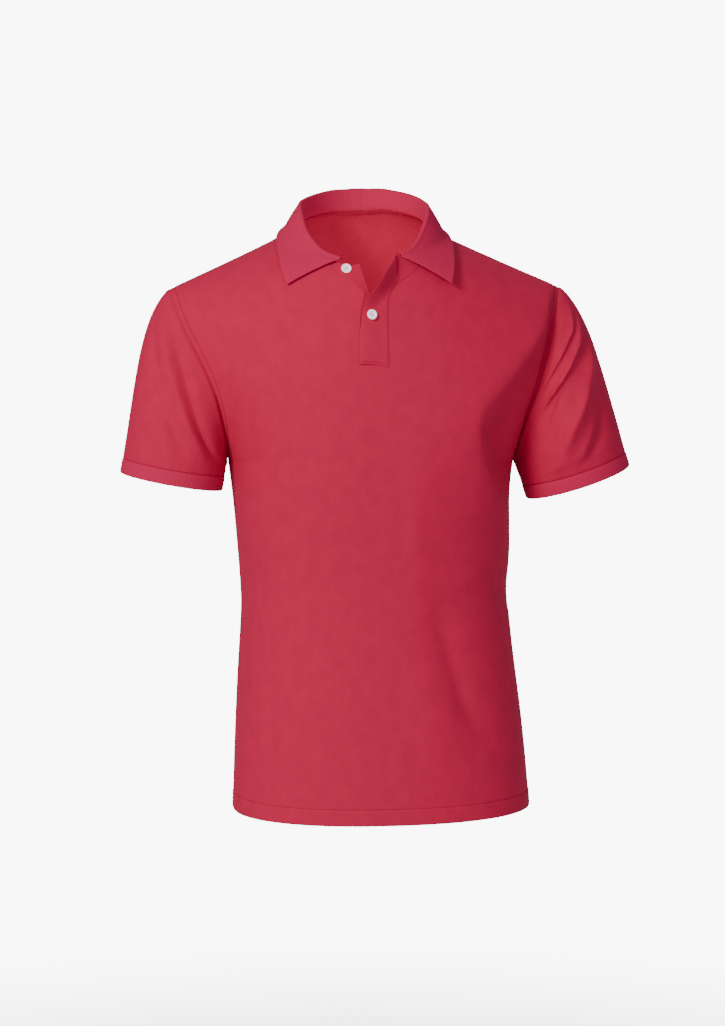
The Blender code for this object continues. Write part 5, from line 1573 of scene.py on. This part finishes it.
def matt_paper():
    """Uncoated white paper on the floor, which runs out into the white of the studio."""
    paper, shader = new_material("matt_paper", 0.9)
    shader.inputs["Base Color"].default_value = shade(colours().floor, 1)
    tree = paper.node_tree
    place = add_node(tree, "TexCoord").outputs["Object"]
    away = add_node(tree, "VectorMath", {0: place}, operation="LENGTH").outputs["Value"]
    seen = add_node(tree, "MapRange", {"Value": away, "From Min": FLOOR_FADE[0], "From Max": FLOOR_FADE[1],
                                       "To Min": 1.0, "To Max": 0.0}, interpolation_type="SMOOTHSTEP")
    tree.links.new(seen.outputs["Result"], shader.inputs["Alpha"])
    return paper


def white_studio():
    """White all round where it is looked at, and a softer white where it only lights the shirt."""
    world = bpy.data.worlds.new("white_studio")
    world.use_nodes = True
    tree = world.node_tree
    seen = add_node(tree, "LightPath").outputs["Is Camera Ray"]
    white = add_node(tree, "Mix", {"Factor": seen, "A": WORLD_LIGHT, "B": WORLD_SEEN},
                     data_type="RGBA").outputs["Result"]
    tree.links.new(white, tree.nodes["Background"].inputs["Color"])
    return world


def light(name, place, target, size, power):
    """A rectangular lamp that points at a target."""
    data = bpy.data.lights.new(name, "AREA")
    data.shape = "RECTANGLE"
    data.size, data.size_y = size
    data.energy = power
    lamp = bpy.data.objects.new(name, data)
    lamp.location = place
    lamp.rotation_euler = (Vector(target) - Vector(place)).to_track_quat("-Z", "Y").to_euler()
    bpy.context.scene.collection.objects.link(lamp)


def view():
    """The camera at the photograph's viewing angle."""
    turn = math.radians(CAMERA_TURN)
    data = bpy.data.cameras.new("camera")
    data.sensor_fit = "VERTICAL"
    data.sensor_height = SENSOR_HEIGHT
    data.lens = LENS
    camera = bpy.data.objects.new("camera", data)
    camera.location = (-CAMERA_AWAY * math.sin(turn), -CAMERA_AWAY * math.cos(turn), CAMERA_HEIGHT)
    camera.rotation_euler = (math.radians(90 - CAMERA_DIP), 0, -turn)
    bpy.context.scene.collection.objects.link(camera)
    return camera


class SHIRT_OT_panels(bpy.types.Operator):
    """Cut and sew the front and the back"""
    bl_idname = "shirt.panels"
    bl_label = "Front and back"

    def execute(self, context):
        for maker, (word, other, hem_row, sewn) in zip((front_panel, back_panel), PANELS):
            panel = dress(maker(), material(pique_cotton), "knit", word)
            rows = np.linspace(*sewn, 90)
            lines = [("sewing_hem_" + word, hem_line(hem_row))]
            lines += [("sewing_armhole_%s_%s" % (word, name), armhole_line(side, rows))
                      for side, name in ((-1, "left"), (1, "right"))]
            sewing = [dress(stitches(name, *line), material(sewing_thread), "knit") for name, line in lines]
            declare(panel)
        return {"FINISHED"}


class SHIRT_OT_sleeves(bpy.types.Operator):
    """Set in the sleeves and knit their cuffs"""
    bl_idname = "shirt.sleeves"
    bl_label = "Sleeves and cuffs"

    def execute(self, context):
        for side, word in ((-1, "left"), (1, "right")):
            cloth = dress(sleeve(side), material(pique_cotton), "knit", "sleeve_" + word)
            row = dress(stitches("sewing_cuff_" + word, *cuff_line(side)), material(sewing_thread), "knit")
            declare(cloth)
            declare(dress(cuff(side), material(ribbed_cotton), "ribbing", "cuff_" + word))
        return {"FINISHED"}


class SHIRT_OT_collar(bpy.types.Operator):
    """Knit the collar and fold it over"""
    bl_idname = "shirt.collar"
    bl_label = "Collar"

    def execute(self, context):
        band, *sewing = neck_seam()
        pieces = [dress(band, material(pique_cotton), "knit")]
        pieces += [dress(thread, material(sewing_thread), "knit") for thread in sewing]
        ribbing = dress(collar(), material(ribbed_cotton), "ribbing", "collar")
        declare(ribbing)
        return {"FINISHED"}


class SHIRT_OT_placket(bpy.types.Operator):
    """Sew the two strips of the placket"""
    bl_idname = "shirt.placket"
    bl_label = "Placket"

    def execute(self, context):
        over = dress(placket_strip("strip_over", True), material(pique_cotton), "knit", "placket_over")
        under = dress(placket_strip("strip_under", False), material(pique_cotton), "knit", "placket_under")
        sewing = [dress(row, material(sewing_thread), "knit") for row in (*placket_sewing(), buttonhole())]
        declare(over)
        declare(under)
        return {"FINISHED"}


class SHIRT_OT_buttons(bpy.types.Operator):
    """Turn the buttons and sew them on"""
    bl_idname = "shirt.buttons"
    bl_label = "Buttons"

    def execute(self, context):
        for node, *place in BUTTONS:
            button = turned_button("pearl_" + node)
            place_on_front(button, *place)
            dress(button, material(pearly_resin), "button", node)
            dress(button_thread("thread_" + node, button), material(white_thread), "button")
        return {"FINISHED"}


class SHIRT_OT_studio(bpy.types.Operator):
    """Lay the floor, set the lights and the camera"""
    bl_idname = "shirt.studio"
    bl_label = "Studio"

    def execute(self, context):
        mesh = bmesh.new()
        bmesh.ops.create_grid(mesh, x_segments=1, y_segments=1, size=FLOOR_HALF)
        floor = finish_mesh("floor", mesh)
        floor.location = (0, 0, FLOOR_HEIGHT)
        floor.data.materials.append(matt_paper())
        for lamp in LIGHTS:
            light(*lamp)
        context.scene.world = white_studio()
        context.scene.camera = view()
        return {"FINISHED"}


OPERATORS = (SHIRT_OT_panels, SHIRT_OT_sleeves, SHIRT_OT_collar, SHIRT_OT_placket, SHIRT_OT_buttons,
             SHIRT_OT_studio)


class SHIRT_PT_sidebar(bpy.types.Panel):
    """Lists the pieces, the sizes and the colours"""
    bl_idname = "SHIRT_PT_sidebar"
    bl_label = "Polo shirt"
    bl_space_type = "VIEW_3D"
    bl_region_type = "UI"
    bl_category = "Polo shirt"

    def draw(self, context):
        for operator in OPERATORS:
            self.layout.operator(operator.bl_idname)
        for group in (context.scene.shirt_sizes, context.scene.shirt_colours, context.scene.shirt_steps):
            for name in group.bl_rna.properties.keys():
                if name not in ("rna_type", "name"):
                    self.layout.prop(group, name)


GROUPS = {"shirt_sizes": ShirtSizes, "shirt_colours": ShirtColours, "shirt_steps": ShirtSteps}


def register():
    for made in (*GROUPS.values(), *OPERATORS, SHIRT_PT_sidebar):
        bpy.utils.register_class(made)
    for name, group in GROUPS.items():
        setattr(bpy.types.Scene, name, PointerProperty(type=group))


def unregister():
    for name in GROUPS:
        delattr(bpy.types.Scene, name)
    for made in reversed((*GROUPS.values(), *OPERATORS, SHIRT_PT_sidebar)):
        bpy.utils.unregister_class(made)


def main():
    register()
    bpy.ops.shirt.panels()
    bpy.ops.shirt.sleeves()
    bpy.ops.shirt.collar()
    bpy.ops.shirt.placket()
    bpy.ops.shirt.buttons()
    bpy.ops.shirt.studio()


if __name__ == "__main__":
    main()
